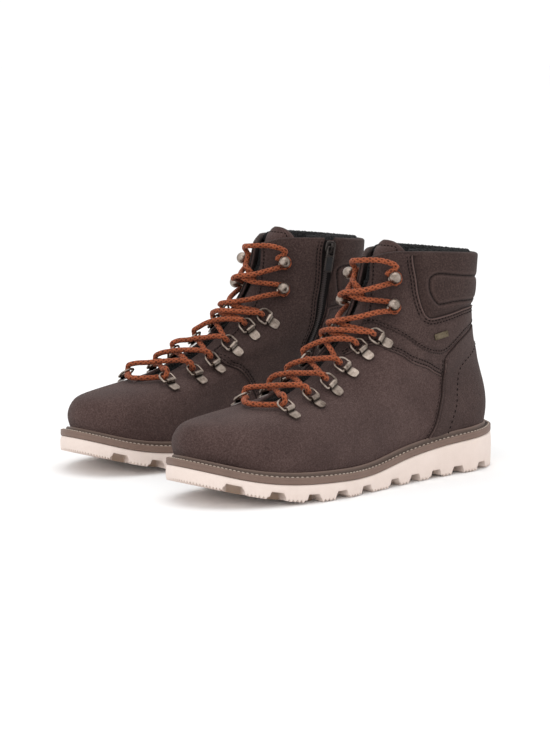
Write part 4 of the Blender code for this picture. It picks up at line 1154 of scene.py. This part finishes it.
def add_hook(shape, p, n):
    """A ball hook: a washer, a stem and the ball on it."""
    ball = [(BALL / 2 * math.cos(w), BALL_HEIGHT + BALL / 2 * math.sin(w))
            for w in np.linspace(-1.15, math.pi / 2, 14)]
    shape.lathe([(0, 1.0), (4.2, 1.0), (4.6, 1.25), (4.5, 1.6), (3.2, 1.9), (1.9, 2.2),
                 (1.55, 3.0), (1.5, 5.4), (1.8, 6.2)] + ball, p, n)


def add_plate(shape, p, across, along, n):
    """A plate: a rounded tab that rolls over the straight side of its ring."""
    path = [(a, 1.95) for a in (-4.8, -4.65, -4.3, -3.7, -2.8, -1.6, 1.0)]
    path += [(3.0, 2.0), (3.6, 2.6)]
    path += [(5.2 - 1.75 * math.cos(w), 3.5 + 1.75 * math.sin(w))
             for w in np.linspace(-0.2, math.pi + 0.5, 14)]
    path = np.array(path)
    step = unit(np.gradient(path, axis=0))
    left = np.c_[-step[:, 1], step[:, 0]]
    sections = []
    for k, (q, side) in enumerate(zip(path, left)):
        wide = 3.85 * (1 - max(0.0, (-0.8 - q[0]) / 4.2) ** 2.5) ** 0.4 if q[0] < 2 else 3.5
        thick = 0.48 if 0 < k < len(path) - 1 else 0.3
        corners = [(-wide, -thick), (wide, -thick), (wide + 0.12, 0), (wide, thick),
                   (-wide, thick), (-wide - 0.12, 0)]
        sections.append([p + across * (q[0] + side[0] * h) + n * (q[1] + side[1] * h)
                         + along * w for w, h in corners])
    # painted shade in the groove where the tab meets its roll, a little at the tab's end
    tone = [0.3, 0.1] + [0] * 5 + [0.9, 1.0, 1.0, 0.6, 0.25] + [0] * (len(path) - 12)
    shape.loft(sections, tone=np.repeat(tone, len(corners)))


def build_hardware():
    """Fold plates and ball hooks, all in one piece."""
    shape = Shape()
    for kind, _, p, across, along, n in POSTS:
        if kind == "hook":
            add_hook(shape, p, n)
        else:
            add_plate(shape, p, across, along, n)
    return shape


# ---------------------------------------------------------------- lace
def lace_turn(post, first_over, toward):
    """Points round one ring or hook: over the bow, through the ring, back under it."""
    kind, _, p, across, along, n = post
    r = LACE / 2
    if kind == "hook":
        centre = p + n * (OVERLAY + 0.35 + r + 1.1)
        near = HOOK_STEM + r + SLACK
        turn = [math.radians(115 - 230 * k / 6) * toward for k in range(7)]
        return [centre - across * near * math.cos(w) + along * near * math.sin(w) for w in turn]
    fold, reach, row, lift = ring_frame(post)
    bow = fold + reach * RING_REACH
    near = RING_WIRE / 2 + r + SLACK
    pts = []
    for w in np.radians([90, 45, 0, -45, -90]):
        shift = row * 2.0 * math.sin(w) * toward * (1 if first_over else -1)
        pts.append(bow - reach * near * math.cos(w) + lift * near * math.sin(w) + shift)
    return pts if first_over else pts[::-1]


def strand_over(a, b):
    """Whether the strand between two stations lies on top: far n to near n + 1 does."""
    low, high = sorted((a, b), key=lambda s: s[1])
    return low[1] != high[1] and low[0] == 1


def crossing(a, b, over, lowest):
    """Points between two turns, lifted clear of the facings and of the other strand."""
    pa, pb = over_surface(a), over_surface(b)
    # between rings the strand runs straight; the lowest bar and the hooks' follow the leather
    straight = 0.25 if lowest else np.interp((pa[1] + pb[1]) / 2, [0.67, 0.73], [1.0, 0.0])
    pts = []
    for f, lift in ((0.14, 0.4), (0.32, 0.95), (0.5, 1.0), (0.68, 0.95), (0.86, 0.4)):
        u, v, h = pa + (pb - pa) * f
        u, v = np.array([u, v]) * (1 - straight) + over_surface(a + (b - a) * f)[:2] * straight
        low = VAMP_CLEAR if v < 0.64 else SHAFT_CLEAR
        if lift < 0.5:                              # a ring's wire or the panel's edge to clear
            lift = 0.15 if h > low + 3 else 0.9 if v > 0.7 else 0.4
        pts.append(offset(u, v, h + (low + (STRAND_STEP if over else 0) - h) * lift))
    return pts


def lace_path(side):
    """Two ends start at the lowest rings and cross at every step to the top hooks."""
    near = 1 if side == "left" else -1          # the side that shows in the pair's front view
    levels = [[p for p in POSTS if p[1] == sign] for sign in (near, -near)]
    chain_a = [(k % 2, k) for k in range(8)]                      # near 1, far 2, near 3 ...
    chain_b = [(1 - k % 2, k) for k in range(8)]
    order = chain_b[::-1] + chain_a
    path = []
    for m, (which, level) in enumerate(order):
        over = m > 0 and strand_over(order[m - 1], order[m])
        turn = lace_turn(levels[which][level], over, 1 if m < 8 else -1)
        path += crossing(path[-1], turn[0], over, m == 8) if m else []
        path += turn
    tops = [(17, 0.955, 8.5), (9.0, 0.985, 9.0), (0.5, 0.99, 9.0), (-7.0, 0.975, 7.5),
            (-10.5, 0.94, 5.0), (-8.0, 0.905, 3.6), (-3.0, 0.885, -1.5), (-1.0, 0.865, -7.0)]
    lows = [(16.0, 0.90, 5.5), (9.0, 0.905, 5.0), (3.5, 0.905, 2.0), (0.5, 0.89, -3.5),
            (0.0, 0.87, -8.0)]
    first, last = ending(path[0], path[1], tops), ending(path[-1], path[-2], lows)
    return np.array(first[::-1] + path + last)


def ending(end, before, course):
    """From a top hook the lace runs back over the facings and dives in between them."""
    sign = 1 if over_surface(end)[0] > 0 else -1
    arc = [end + unit(end - before) * 4.0]
    for half, v, h in course:
        side = sign if half > 0 else -sign
        arc.append(offset(at_half_width(v, abs(half), side), v, h))
    return arc


def build_lace(side):
    """Round cord with the relief of its braid; tone marks the dark strands and paints shade in
    the grooves between them.
    """
    control = lace_path(side)
    fine = spline(control, np.linspace(0, len(control) - 1, 24 * len(control)))
    along = lengths(fine)
    at = np.arange(0, along[-1], 0.6)
    path = sample(fine, along, at)
    sides = 24
    turn, step = np.arange(sides)[None] / sides * 4, at[:, None] / BRAID_PITCH
    x, y = turn + step, turn - step
    over = (np.floor(2 * x) + np.floor(2 * y)) % 2 == 0
    relief = np.where(over, abs(np.sin(2 * math.pi * x)), abs(np.sin(2 * math.pi * y)))
    # dark strands of the braid, plus painted shade in the grooves between strands
    dark = 0.7 * (over & (np.floor(2 * x) % 2 == 0)) + 0.85 * (1 - relief)
    ends = np.minimum(1, np.minimum(at, at[-1] - at) / 2.0)[:, None] ** 0.5
    radius = (LACE / 2 - BRAID_RELIEF + BRAID_RELIEF * relief) * np.maximum(ends, 0.3)
    shape = Shape()
    shape.tube(path, radius, sides, tone=dark)
    return shape


# ---------------------------------------------------------------- zip and badge
def zip_spot(share):
    """Surface point on the zip's centreline, share 0 at the bottom and 1 at the top."""
    x = ZIP_BOTTOM[0] + (ZIP_TOP[0] - ZIP_BOTTOM[0]) * share
    z = ZIP_BOTTOM[1] + (ZIP_TOP[1] - ZIP_BOTTOM[1]) * share
    u, v = locate((x, -45, z), weights=(1, 0.02, 1), start_u=(0.6, 0.8))
    return upper(u, v), upper_normal(u, v)


def zip_course(count):
    """Stations of the zip: points, normals and the direction across the tape."""
    spots = [zip_spot(s) for s in np.linspace(0.0, 0.99, 16)]
    p = spline(np.array([q[0] for q in spots]), np.linspace(0, 15, count))
    n = unit(spline(np.array([q[1] for q in spots]), np.linspace(0, 15, count)))
    over = unit(np.cross(np.gradient(p, axis=0), n))
    return p, n, over


def build_tape():
    """Cloth of the zip, with a low rib on each side of the coil."""
    shape = Shape()
    p, n, over = zip_course(120)
    half = 5.4
    profile = [(-half, -0.2), (-half, 0.35), (-2.2, 0.5), (-1.9, 0.75), (1.9, 0.75), (2.2, 0.5),
               (half, 0.35), (half, -0.2)]
    shape.loft([[q + o * a + m * b for a, b in profile] for q, m, o in zip(p, n, over)])
    return shape


def build_coil():
    """Zip teeth: two interlocked rows of rounded links."""
    shape = Shape()
    p, n, over = zip_course(118)
    for k in range(2, len(p) - 1):
        side = 1 if k % 2 else -1
        a = p[k] + n[k] * 1.15 + over[k] * side * 1.9
        b = p[k] + n[k] * 1.25 - over[k] * side * 0.7
        shape.tube([a, a + (b - a) * 0.12, a + (b - a) * 0.85, b],
                   np.array([[0.2], [0.48], [0.5], [0.25]]) * np.ones((1, 8)), 8)
    return shape


def zip_axis():
    """Straight line along which the slider runs, clear of the coil all the way."""
    top, n = zip_spot(SLIDER_AT)
    low, _ = zip_spot(SLIDER_AT - ZIP_TRAVEL / ZIP_LENGTH)
    along = unit(top - low)
    normal = unit(n - along * (n @ along))
    return top + normal * SLIDER_LIFT, along, normal


def build_slider():
    """Slider: a shield with rolled sides and a bridge over its middle."""
    shape = Shape()
    top, along, n = zip_axis()
    over = np.cross(along, n)
    centre = top + n * 2.4
    shield = [(-4.2, -2.0), (-3.8, -3.6), (-2.6, -5.0), (2.6, -5.0), (3.8, -3.6), (4.2, -2.0),
              (4.2, 3.0), (3.5, 4.4), (2.0, 5.0), (-2.0, 5.0), (-3.5, 4.4), (-4.2, 3.0)]
    shape.prism(shield, centre, over, along, n, 1.3, 0.35)
    for side in (-1, 1):
        shape.tube([centre + over * side * 3.9 + along * a + n * 0.55
                    for a in (-2.4, 0, 1.5, 3.2)], 0.6, 10)
    bridge = [centre + along * (3.2 * math.cos(w)) + n * (1.0 + 2.3 * math.sin(w) ** 0.6)
              for w in np.linspace(0.05, math.pi - 0.05, 16)]
    shape.loft([[q + over * a + n * b for a, b in ((-0.8, -0.45), (0.8, -0.45), (0.95, 0.0),
                                                   (0.8, 0.45), (-0.8, 0.45), (-0.95, 0.0))]
                for q in bridge])
    return shape


def build_pull():
    """Flat bow with a rounded dark grip let into its lower end."""
    top, along, n = zip_axis()
    over = np.cross(along, n)
    hinge = top + n * 4.9
    bow, grip = Shape(), Shape()
    outline = [(-2.2, 0.0), (0.0, 0.6), (2.2, 0.0), (2.75, -1.2), (2.9, -6.0), (2.9, -17.2),
               (2.2, -19.2), (0.0, -19.5), (-2.2, -19.2), (-2.9, -17.2), (-2.9, -6.0),
               (-2.75, -1.2)]
    path = [hinge + over * a + along * b for a, b in spline(
        np.array(outline), np.linspace(0, len(outline), 72, endpoint=False), True)]
    bow.tube(path, 0.62, 12, closed=True)
    bow.prism([(-2.6, -6.4), (2.6, -6.4), (2.6, -7.6), (-2.6, -7.6)], hinge - n * 0.5, over,
              along, n, 1.0, 0.2)
    grip.prism([(-2.35, -7.9), (2.35, -7.9), (2.45, -12.0), (2.35, -18.2), (1.7, -19.0),
                (-1.7, -19.0), (-2.35, -18.2), (-2.45, -12.0)], hinge - n * 0.75, over, along,
               n, 1.5, 0.35)
    for k in range(7):
        rib = hinge - along * (9.4 + 1.3 * k) + n * 0.72
        grip.tube([rib - over * 1.6, rib + over * 1.6], 0.22, 8)
    return bow, grip


def build_badge():
    """Plain tag with a raised rim and a pin at each end, on the shaft's outer side."""
    shape = Shape()
    u, v = locate((BADGE[0], 32, BADGE[1]), weights=(1, 0.02, 1), start_u=(0.2, 0.4))
    p, n = upper(u, v), upper_normal(u, v)
    ax = unit(np.array([1.0, 0, -0.16]) - n * np.dot((1.0, 0, -0.16), n))
    az = unit(np.cross(ax, n))
    corner = [(6.3 + 0.7 * math.sin(w), 1.7 + 0.7 * math.cos(w)) for w in (0, 0.5, 1.0, 1.57)]
    plate = corner + [(a, -b) for a, b in corner[::-1]]
    plate += [(-a, -b) for a, b in corner] + [(-a, b) for a, b in corner[::-1]]
    shape.prism(plate, p + n * 1.2, ax, az, n, 1.1, 0.25)
    for a in (-5.6, 5.6):
        shape.lathe([(0, 2.2), (0.75, 2.25), (0.62, 2.6), (0, 2.75)], p + ax * a, n, 16)
    rim_line = [p + n * 2.3 + ax * (a * 0.93) + az * (b * 0.88) for a, b in plate]
    shape.tube(rim_line, 0.24, 8, closed=True)
    return shape


# ---------------------------------------------------------------- materials
class Nodes:
    """A small helper round one material's node tree."""

    def __init__(self, name):
        self.material = bpy.data.materials.new(name)
        self.material.use_nodes = True
        self.tree = self.material.node_tree
        self.shader = next(n for n in self.tree.nodes if n.type == "BSDF_PRINCIPLED")
        self.position = self.new("ShaderNodeTexCoord").outputs["Object"]

    def new(self, kind, **settings):
        node = self.tree.nodes.new(kind)
        for key, value in settings.items():
            setattr(node, key, value)
        return node

    def put(self, value, socket):
        """Feeds a socket with a number, a colour or another node's output."""
        if isinstance(value, (int, float)):
            socket.default_value = value
        elif isinstance(value, tuple):
            socket.default_value = (*value, 1)
        else:
            self.tree.links.new(value, socket)

    def texture(self, kind, output, settings=None, **inputs):
        node = self.new(kind, **(settings or {}))
        for key, value in inputs.items():
            node.inputs[key].default_value = value
        self.put(self.position, node.inputs["Vector"])
        return node.outputs[output]

    def noise(self, scale, detail=4.0, rough=0.6):
        return self.texture("ShaderNodeTexNoise", "Fac", Scale=scale, Detail=detail,
                            Roughness=rough)

    def cells(self, scale):
        return self.texture("ShaderNodeTexVoronoi", "Distance", Scale=scale)

    def math(self, operation, a, b=0.0, c=0.0):
        node = self.new("ShaderNodeMath", operation=operation)
        for socket, value in zip(node.inputs, (a, b, c)):
            self.put(value, socket)
        return node.outputs[0]

    def weigh(self, a, share_a, b, share_b):
        """Sum of two values, each times its share."""
        return self.math("ADD", self.math("MULTIPLY", a, share_a),
                         self.math("MULTIPLY", b, share_b))

    def ramp(self, fac, stops):
        node = self.new("ShaderNodeValToRGB")
        ramp = node.color_ramp
        while len(ramp.elements) < len(stops):
            ramp.elements.new(0.5)
        for element, (at, colour) in zip(ramp.elements, stops):
            element.position, element.color = at, (*colour, 1)
        self.put(fac, node.inputs["Fac"])
        return node.outputs["Color"]

    def mix(self, fac, a, b):
        node = self.new("ShaderNodeMix", data_type="RGBA")
        for socket, value in ((node.inputs[0], fac), (node.inputs[6], a), (node.inputs[7], b)):
            self.put(value, socket)
        return node.outputs[2]

    def clamp(self, value):
        node = self.new("ShaderNodeClamp")
        self.put(value, node.inputs["Value"])
        return node.outputs[0]

    def tone(self):
        return self.new("ShaderNodeAttribute", attribute_name="tone").outputs["Fac"]

    def finish(self, colour, roughness, height=None, bump=0.0002, metallic=0.0, sheen=0.0,
               sheen_rough=0.5, specular=0.5):
        s = self.shader.inputs
        self.put(colour, s["Base Color"])
        self.put(roughness, s["Roughness"])
        s["Metallic"].default_value = metallic
        s["Sheen Weight"].default_value = sheen
        s["Sheen Roughness"].default_value = sheen_rough
        s["Specular IOR Level"].default_value = specular
        if height is not None:
            node = self.new("ShaderNodeBump")
            node.inputs["Distance"].default_value = bump
            self.put(height, node.inputs["Height"])
            self.put(node.outputs["Normal"], s["Normal"])
        return self.material


def linear(r, g, b):
    """Linear colour of an sRGB one in 0..255."""
    return tuple((c / 255 / 12.92) if c < 10.3 else ((c / 255 + 0.055) / 1.055) ** 2.4
                 for c in (r, g, b))


def nubuck(name, dark, base, light):
    """Buffed leather: brushed clouds, fine nap, tiny pale specks and pores; positive tone paints
    shade on it and negative tone paints a highlight.
    """
    n = Nodes(name)
    cloud, nap, grain = n.noise(22, 5), n.noise(820, 3, 0.75), n.noise(2400, 2, 0.6)
    mixed = n.math("ADD", n.weigh(cloud, 0.25, nap, 0.5), n.math("MULTIPLY", grain, 0.25))
    colour = n.ramp(mixed, [(0.40, dark), (0.5, base), (0.61, light)])
    specks = n.math("LESS_THAN", n.cells(520), n.math("MULTIPLY", n.noise(300), 0.22))
    colour = n.mix(n.math("MULTIPLY", specks, 0.5), colour, light)
    tone = n.tone()
    # painted shade where the tone is positive
    colour = n.mix(n.clamp(n.math("MULTIPLY", tone, 0.8)), colour,
                   tuple(0.3 * c for c in dark))
    # painted highlight where the tone is negative
    colour = n.mix(n.clamp(n.math("MULTIPLY", tone, -0.8)), colour,
                   tuple(1.8 * c for c in light))
    return n.finish(colour, n.math("MULTIPLY_ADD", cloud, 0.2, 0.75),
                    n.weigh(nap, 0.7, grain, 0.5), 0.00045, sheen=0.04, sheen_rough=0.6,
                    specular=0.12)


def fleece():
    n = Nodes("black_fleece")
    curl, fine = n.cells(620), n.noise(1500, 4, 0.7)
    colour = n.ramp(n.math("ADD", curl, n.math("MULTIPLY", fine, 0.5)),
                    [(0.2, linear(8, 8, 9)), (0.9, linear(34, 33, 34))])
    return n.finish(colour, 0.95, n.math("ADD", curl, fine), 0.0012, sheen=0.08,
                    sheen_rough=0.7, specular=0.05)


def rubber(name, base, shade, pits=1.0, tone=None):
    """Foam rubber: faint clouds, pinholes and a moulded skin; tone paints shade into its
    recesses.
    """
    n = Nodes(name)
    cloud, skin, pore = n.noise(40, 4), n.noise(1400, 3), n.cells(420)
    colour = n.ramp(n.weigh(cloud, 0.7, skin, 0.3), [(0.3, shade), (0.65, base)])
    if tone:
        # painted shade: the tone colour in the recesses that the tone marks
        colour = n.mix(n.clamp(n.tone()), colour, tone)
    pinholes = n.math("LESS_THAN", pore, 0.1 * pits)
    height = n.math("SUBTRACT", skin, n.math("MULTIPLY", pinholes, 1.2))
    return n.finish(colour, n.math("MULTIPLY_ADD", skin, 0.2, 0.5), height, 0.00012,
                    specular=0.35)


def metal(name, base, dark, rough=0.36):
    """Aged plating: tarnish in clouds and fine scratches; tone paints shade into the plates'
    folds.
    """
    n = Nodes(name)
    cloud, fine = n.noise(180, 5, 0.65), n.noise(1800, 3)
    scratch = n.texture("ShaderNodeTexWave", "Fac", Scale=240, Distortion=18)
    colour = n.ramp(n.weigh(cloud, 0.75, fine, 0.25), [(0.36, dark), (0.62, base)])
    # painted shade where the tone marks the plates' folds
    colour = n.mix(n.clamp(n.tone()), colour, tuple(0.22 * c for c in dark))
    height = n.math("ADD", fine, n.math("MULTIPLY", scratch, 0.3))
    return n.finish(colour, n.math("MULTIPLY_ADD", cloud, 0.3, rough - 0.12), height, 0.00004,
                    metallic=1.0)


def lace_material():
    n = Nodes("rust_lace_braid")
    fibre, cloud = n.noise(3200, 3, 0.7), n.noise(120, 3)
    rust = n.ramp(n.weigh(fibre, 0.6, cloud, 0.4),
                  [(0.32, linear(138, 72, 44)), (0.66, linear(196, 108, 72))])
    # dark strands and painted shade in the braid's grooves
    colour = n.mix(n.clamp(n.tone()), rust, linear(56, 26, 18))
    return n.finish(colour, 0.85, fibre, 0.0002, sheen=0.05, specular=0.15)


def thread(name, base, dark):
    n = Nodes(name)
    twist = n.noise(4200, 2, 0.7)
    return n.finish(n.ramp(twist, [(0.35, dark), (0.62, base)]), 0.8, twist, 0.00012,
                    specular=0.1)


def weave(name, base, dark, scale=1900):
    """Plain woven tape: two crossed bands."""
    n = Nodes(name)
    height = n.math("MAXIMUM", *(
        n.texture("ShaderNodeTexWave", "Fac", {"bands_direction": axis}, Scale=scale / 6)
        for axis in "ZX"))
    colour = n.ramp(n.weigh(height, 0.5, n.noise(2400, 3), 0.5), [(0.3, dark), (0.8, base)])
    return n.finish(colour, 0.9, height, 0.0002, sheen=0.02, specular=0.08)


def make_materials():
    return {
        "nubuck": nubuck("brown_nubuck", linear(58, 43, 40), linear(73, 56, 53),
                         linear(93, 75, 71)),
        "panel": nubuck("brown_nubuck_panels", linear(51, 38, 36), linear(66, 51, 48),
                        linear(85, 68, 64)),
        "collar": nubuck("dark_collar_nubuck", linear(45, 33, 31), linear(58, 44, 41),
                         linear(76, 60, 56)),
        "fleece": fleece(),
        # the tone colours are painted shade: the sole's notches, the welt's groove and underside
        "sole": rubber("cream_foam_rubber", linear(230, 214, 205), linear(220, 203, 193),
                       tone=linear(136, 114, 97)),
        "band": rubber("taupe_rubber", linear(122, 100, 89), linear(110, 89, 79), 0.7,
                       tone=linear(62, 51, 45)),
        "nickel": metal("antique_nickel", linear(172, 158, 147), linear(100, 88, 79), 0.3),
        "brass": metal("antique_brass", linear(120, 108, 90), linear(84, 74, 60), 0.42),
        "gunmetal": metal("dark_gunmetal", linear(88, 82, 79), linear(58, 53, 51), 0.38),
        "grip": rubber("black_grip", linear(38, 36, 37), linear(24, 23, 24), 0.3),
        "lace": lace_material(),
        "thread": thread("brown_thread", linear(30, 21, 20), linear(14, 10, 9)),
        "pale_thread": thread("off_white_thread", linear(206, 192, 178), linear(160, 142, 128)),
        "tape": weave("brown_black_zip_tape", linear(27, 22, 21), linear(12, 10, 10)),
        "coil": rubber("dark_zip_coil", linear(66, 56, 54), linear(44, 38, 37), 0.2),
        "wadding": weave("grey_wadding", linear(98, 94, 92), linear(70, 67, 66), 900),
        "foam": rubber("grey_footbed_foam", linear(70, 66, 66), linear(50, 47, 48)),
        "board": weave("insole_board_fibre", linear(196, 176, 146), linear(158, 138, 110), 700),
    }


# ---------------------------------------------------------------- both boots
def build_pair(look):
    tongue, border = build_tongue()
    bow, grip = build_pull()
    wadding = skin_grid(-1.9, -4.6, cols=120, below=12, above=24, top=0.9, tuck=7.0)
    rings = [p for p in POSTS if p[0] == "ring"]
    parts = [
        ("wedge_outsole", build_outsole(), "sole", "wedge_sole", ["outsole"]),
        ("midsole_rand", build_band([(0.5, 0.3, 0), (0.0, 0.7, 0), (-0.15, 1.6, 0),
                                     (-0.15, 3.0, 0), (-0.1, 3.33, 0), (14.0, 3.33, 0),
                                     (14.0, 0.3, 0)]), "band", "midsole_band", ["midsole"]),
        ("stitched_welt", build_welt(), "band", "welt", ["welt"]),
        ("welt_stitching", build_welt_stitches(), "pale_thread", "welt", []),
        ("vamp_leather", skin_grid(0.0, -SHELL), "nubuck", "nubuck", ["vamp"]),
        ("ankle_panel", build_middle(), "panel", "nubuck", []),
        ("shaft_leather", build_quarter(), "panel", "nubuck", ["quarter"]),
        ("heel_counter_leather", build_counter(), "panel", "nubuck", ["heel_counter"]),
        ("seam_stitching", build_seams(), "thread", "nubuck", []),
        ("top_binding", build_rim(), "collar", "collar_nubuck", []),
        ("tongue_stitching", border, "thread", "nubuck", []),
        ("fold_plates_and_ball_hooks", build_hardware(), "nickel", "old_nickel",
         ["lace_hardware"]),
        ("zip_tape_cloth", build_tape(), "tape", "zip_tape", ["zip_tape"]),
        ("zip_coil", build_coil(), "coil", "zip_tape", []),
        ("side_tag", build_badge(), "brass", "old_nickel", ["badge"]),
        # soft pieces; the last value is how much of the piece is filled
        ("padded_collar", build_collar(), "collar", "collar_nubuck", ["collar"], 0.8),
        ("fleece_lining", build_lining(), "fleece", "fleece", ["lining"], 0.5),
        ("padded_tongue", tongue, "nubuck", "nubuck", ["tongue"], 0.7),
        ("insulation_wadding", wadding, "wadding", "wadding", ["insulation"], 0.6),
    ]
    slider = build_slider()
    for side in SIDES:
        for name, shape, material, slot, nodes, *filled in parts:
            piece(name, side, shape, look[material], slot, nodes,
                  pad=filled[0] if filled else None)
        piece("braided_lace", side, build_lace(side), look["lace"], "lace_cord", ["lace"])
        for k, post in enumerate(rings):
            node = f"ring_{'outer' if post[1] > 0 else 'inner'}_{k // 2 + 1}"
            piece(f"wire_{node}", side, build_ring(post), look["nickel"], "old_nickel", [node],
                  f"{node}_body")
        piece("zip_slider_shield", side, slider, look["gunmetal"], "dark_metal", ["zip_slider"],
              "slider")
        piece("zip_pull_bow", side, bow, look["gunmetal"], "dark_metal", ["zip_pull"], "pull")
        piece("zip_pull_grip", side, grip, look["grip"], "dark_metal", [], "pull")
        for node, material in (("footbed", "foam"), ("insole_board", "board")):
            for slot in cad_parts[f"{side}_{node}"].material_slots:
                slot.material = look[material]


def aim(obj, target):
    obj.rotation_euler = (Vector(target) - obj.location).to_track_quat("-Z", "Y").to_euler()


def soft_light(name, location, target, size, power):
    data = bpy.data.lights.new(name, "AREA")
    data.shape, data.size, data.energy = "DISK", size, power
    obj = add_object(name, data)
    obj.location = location
    aim(obj, target)


def build_studio():
    """Near-white floor, white surroundings, soft lights and the photograph's camera."""
    n = Nodes("pale_floor")
    shades = [(0.3, (0.95, 0.95, 0.95)), (0.7, (0.96, 0.96, 0.96))]
    mesh = bpy.data.meshes.new("floor")
    half = 14.0
    mesh.from_pydata([(-half, -half, 0), (half, -half, 0), (half, half, 0), (-half, half, 0)],
                     [], [(0, 1, 2, 3)])
    mesh.materials.append(n.finish(n.ramp(n.noise(3.0, 2), shades), 0.95, specular=0.05))
    floor = add_object("floor", mesh)
    floor.location.z = -0.0004

    world = bpy.data.worlds.new("studio")
    bpy.context.scene.world = world
    world.use_nodes = True
    background = next(node for node in world.node_tree.nodes if node.type == "BACKGROUND")
    background.inputs["Color"].default_value = (1, 1, 1, 1)
    background.inputs["Strength"].default_value = 1.06
    soft_light("overhead", (-0.2, -0.1, 1.7), (0, 0, 0.1), 1.6, 6)
    soft_light("front_left", (-1.5, -1.0, 1.1), (0, 0, 0.08), 1.0, 4)

    data = bpy.data.cameras.new("camera")
    camera = add_object("camera", data)
    camera.location = (-1.309, -1.456, 0.343)
    aim(camera, (-0.0099, -0.0260, 0.090))
    data.lens, data.sensor_width = 125.6, 36.0
    data.shift_x, data.shift_y = -0.0179, -0.0161
    data.dof.use_dof = False
    bpy.context.scene.camera = camera
    bpy.context.scene.view_settings.view_transform = "Standard"


build_pair(make_materials())
build_studio()
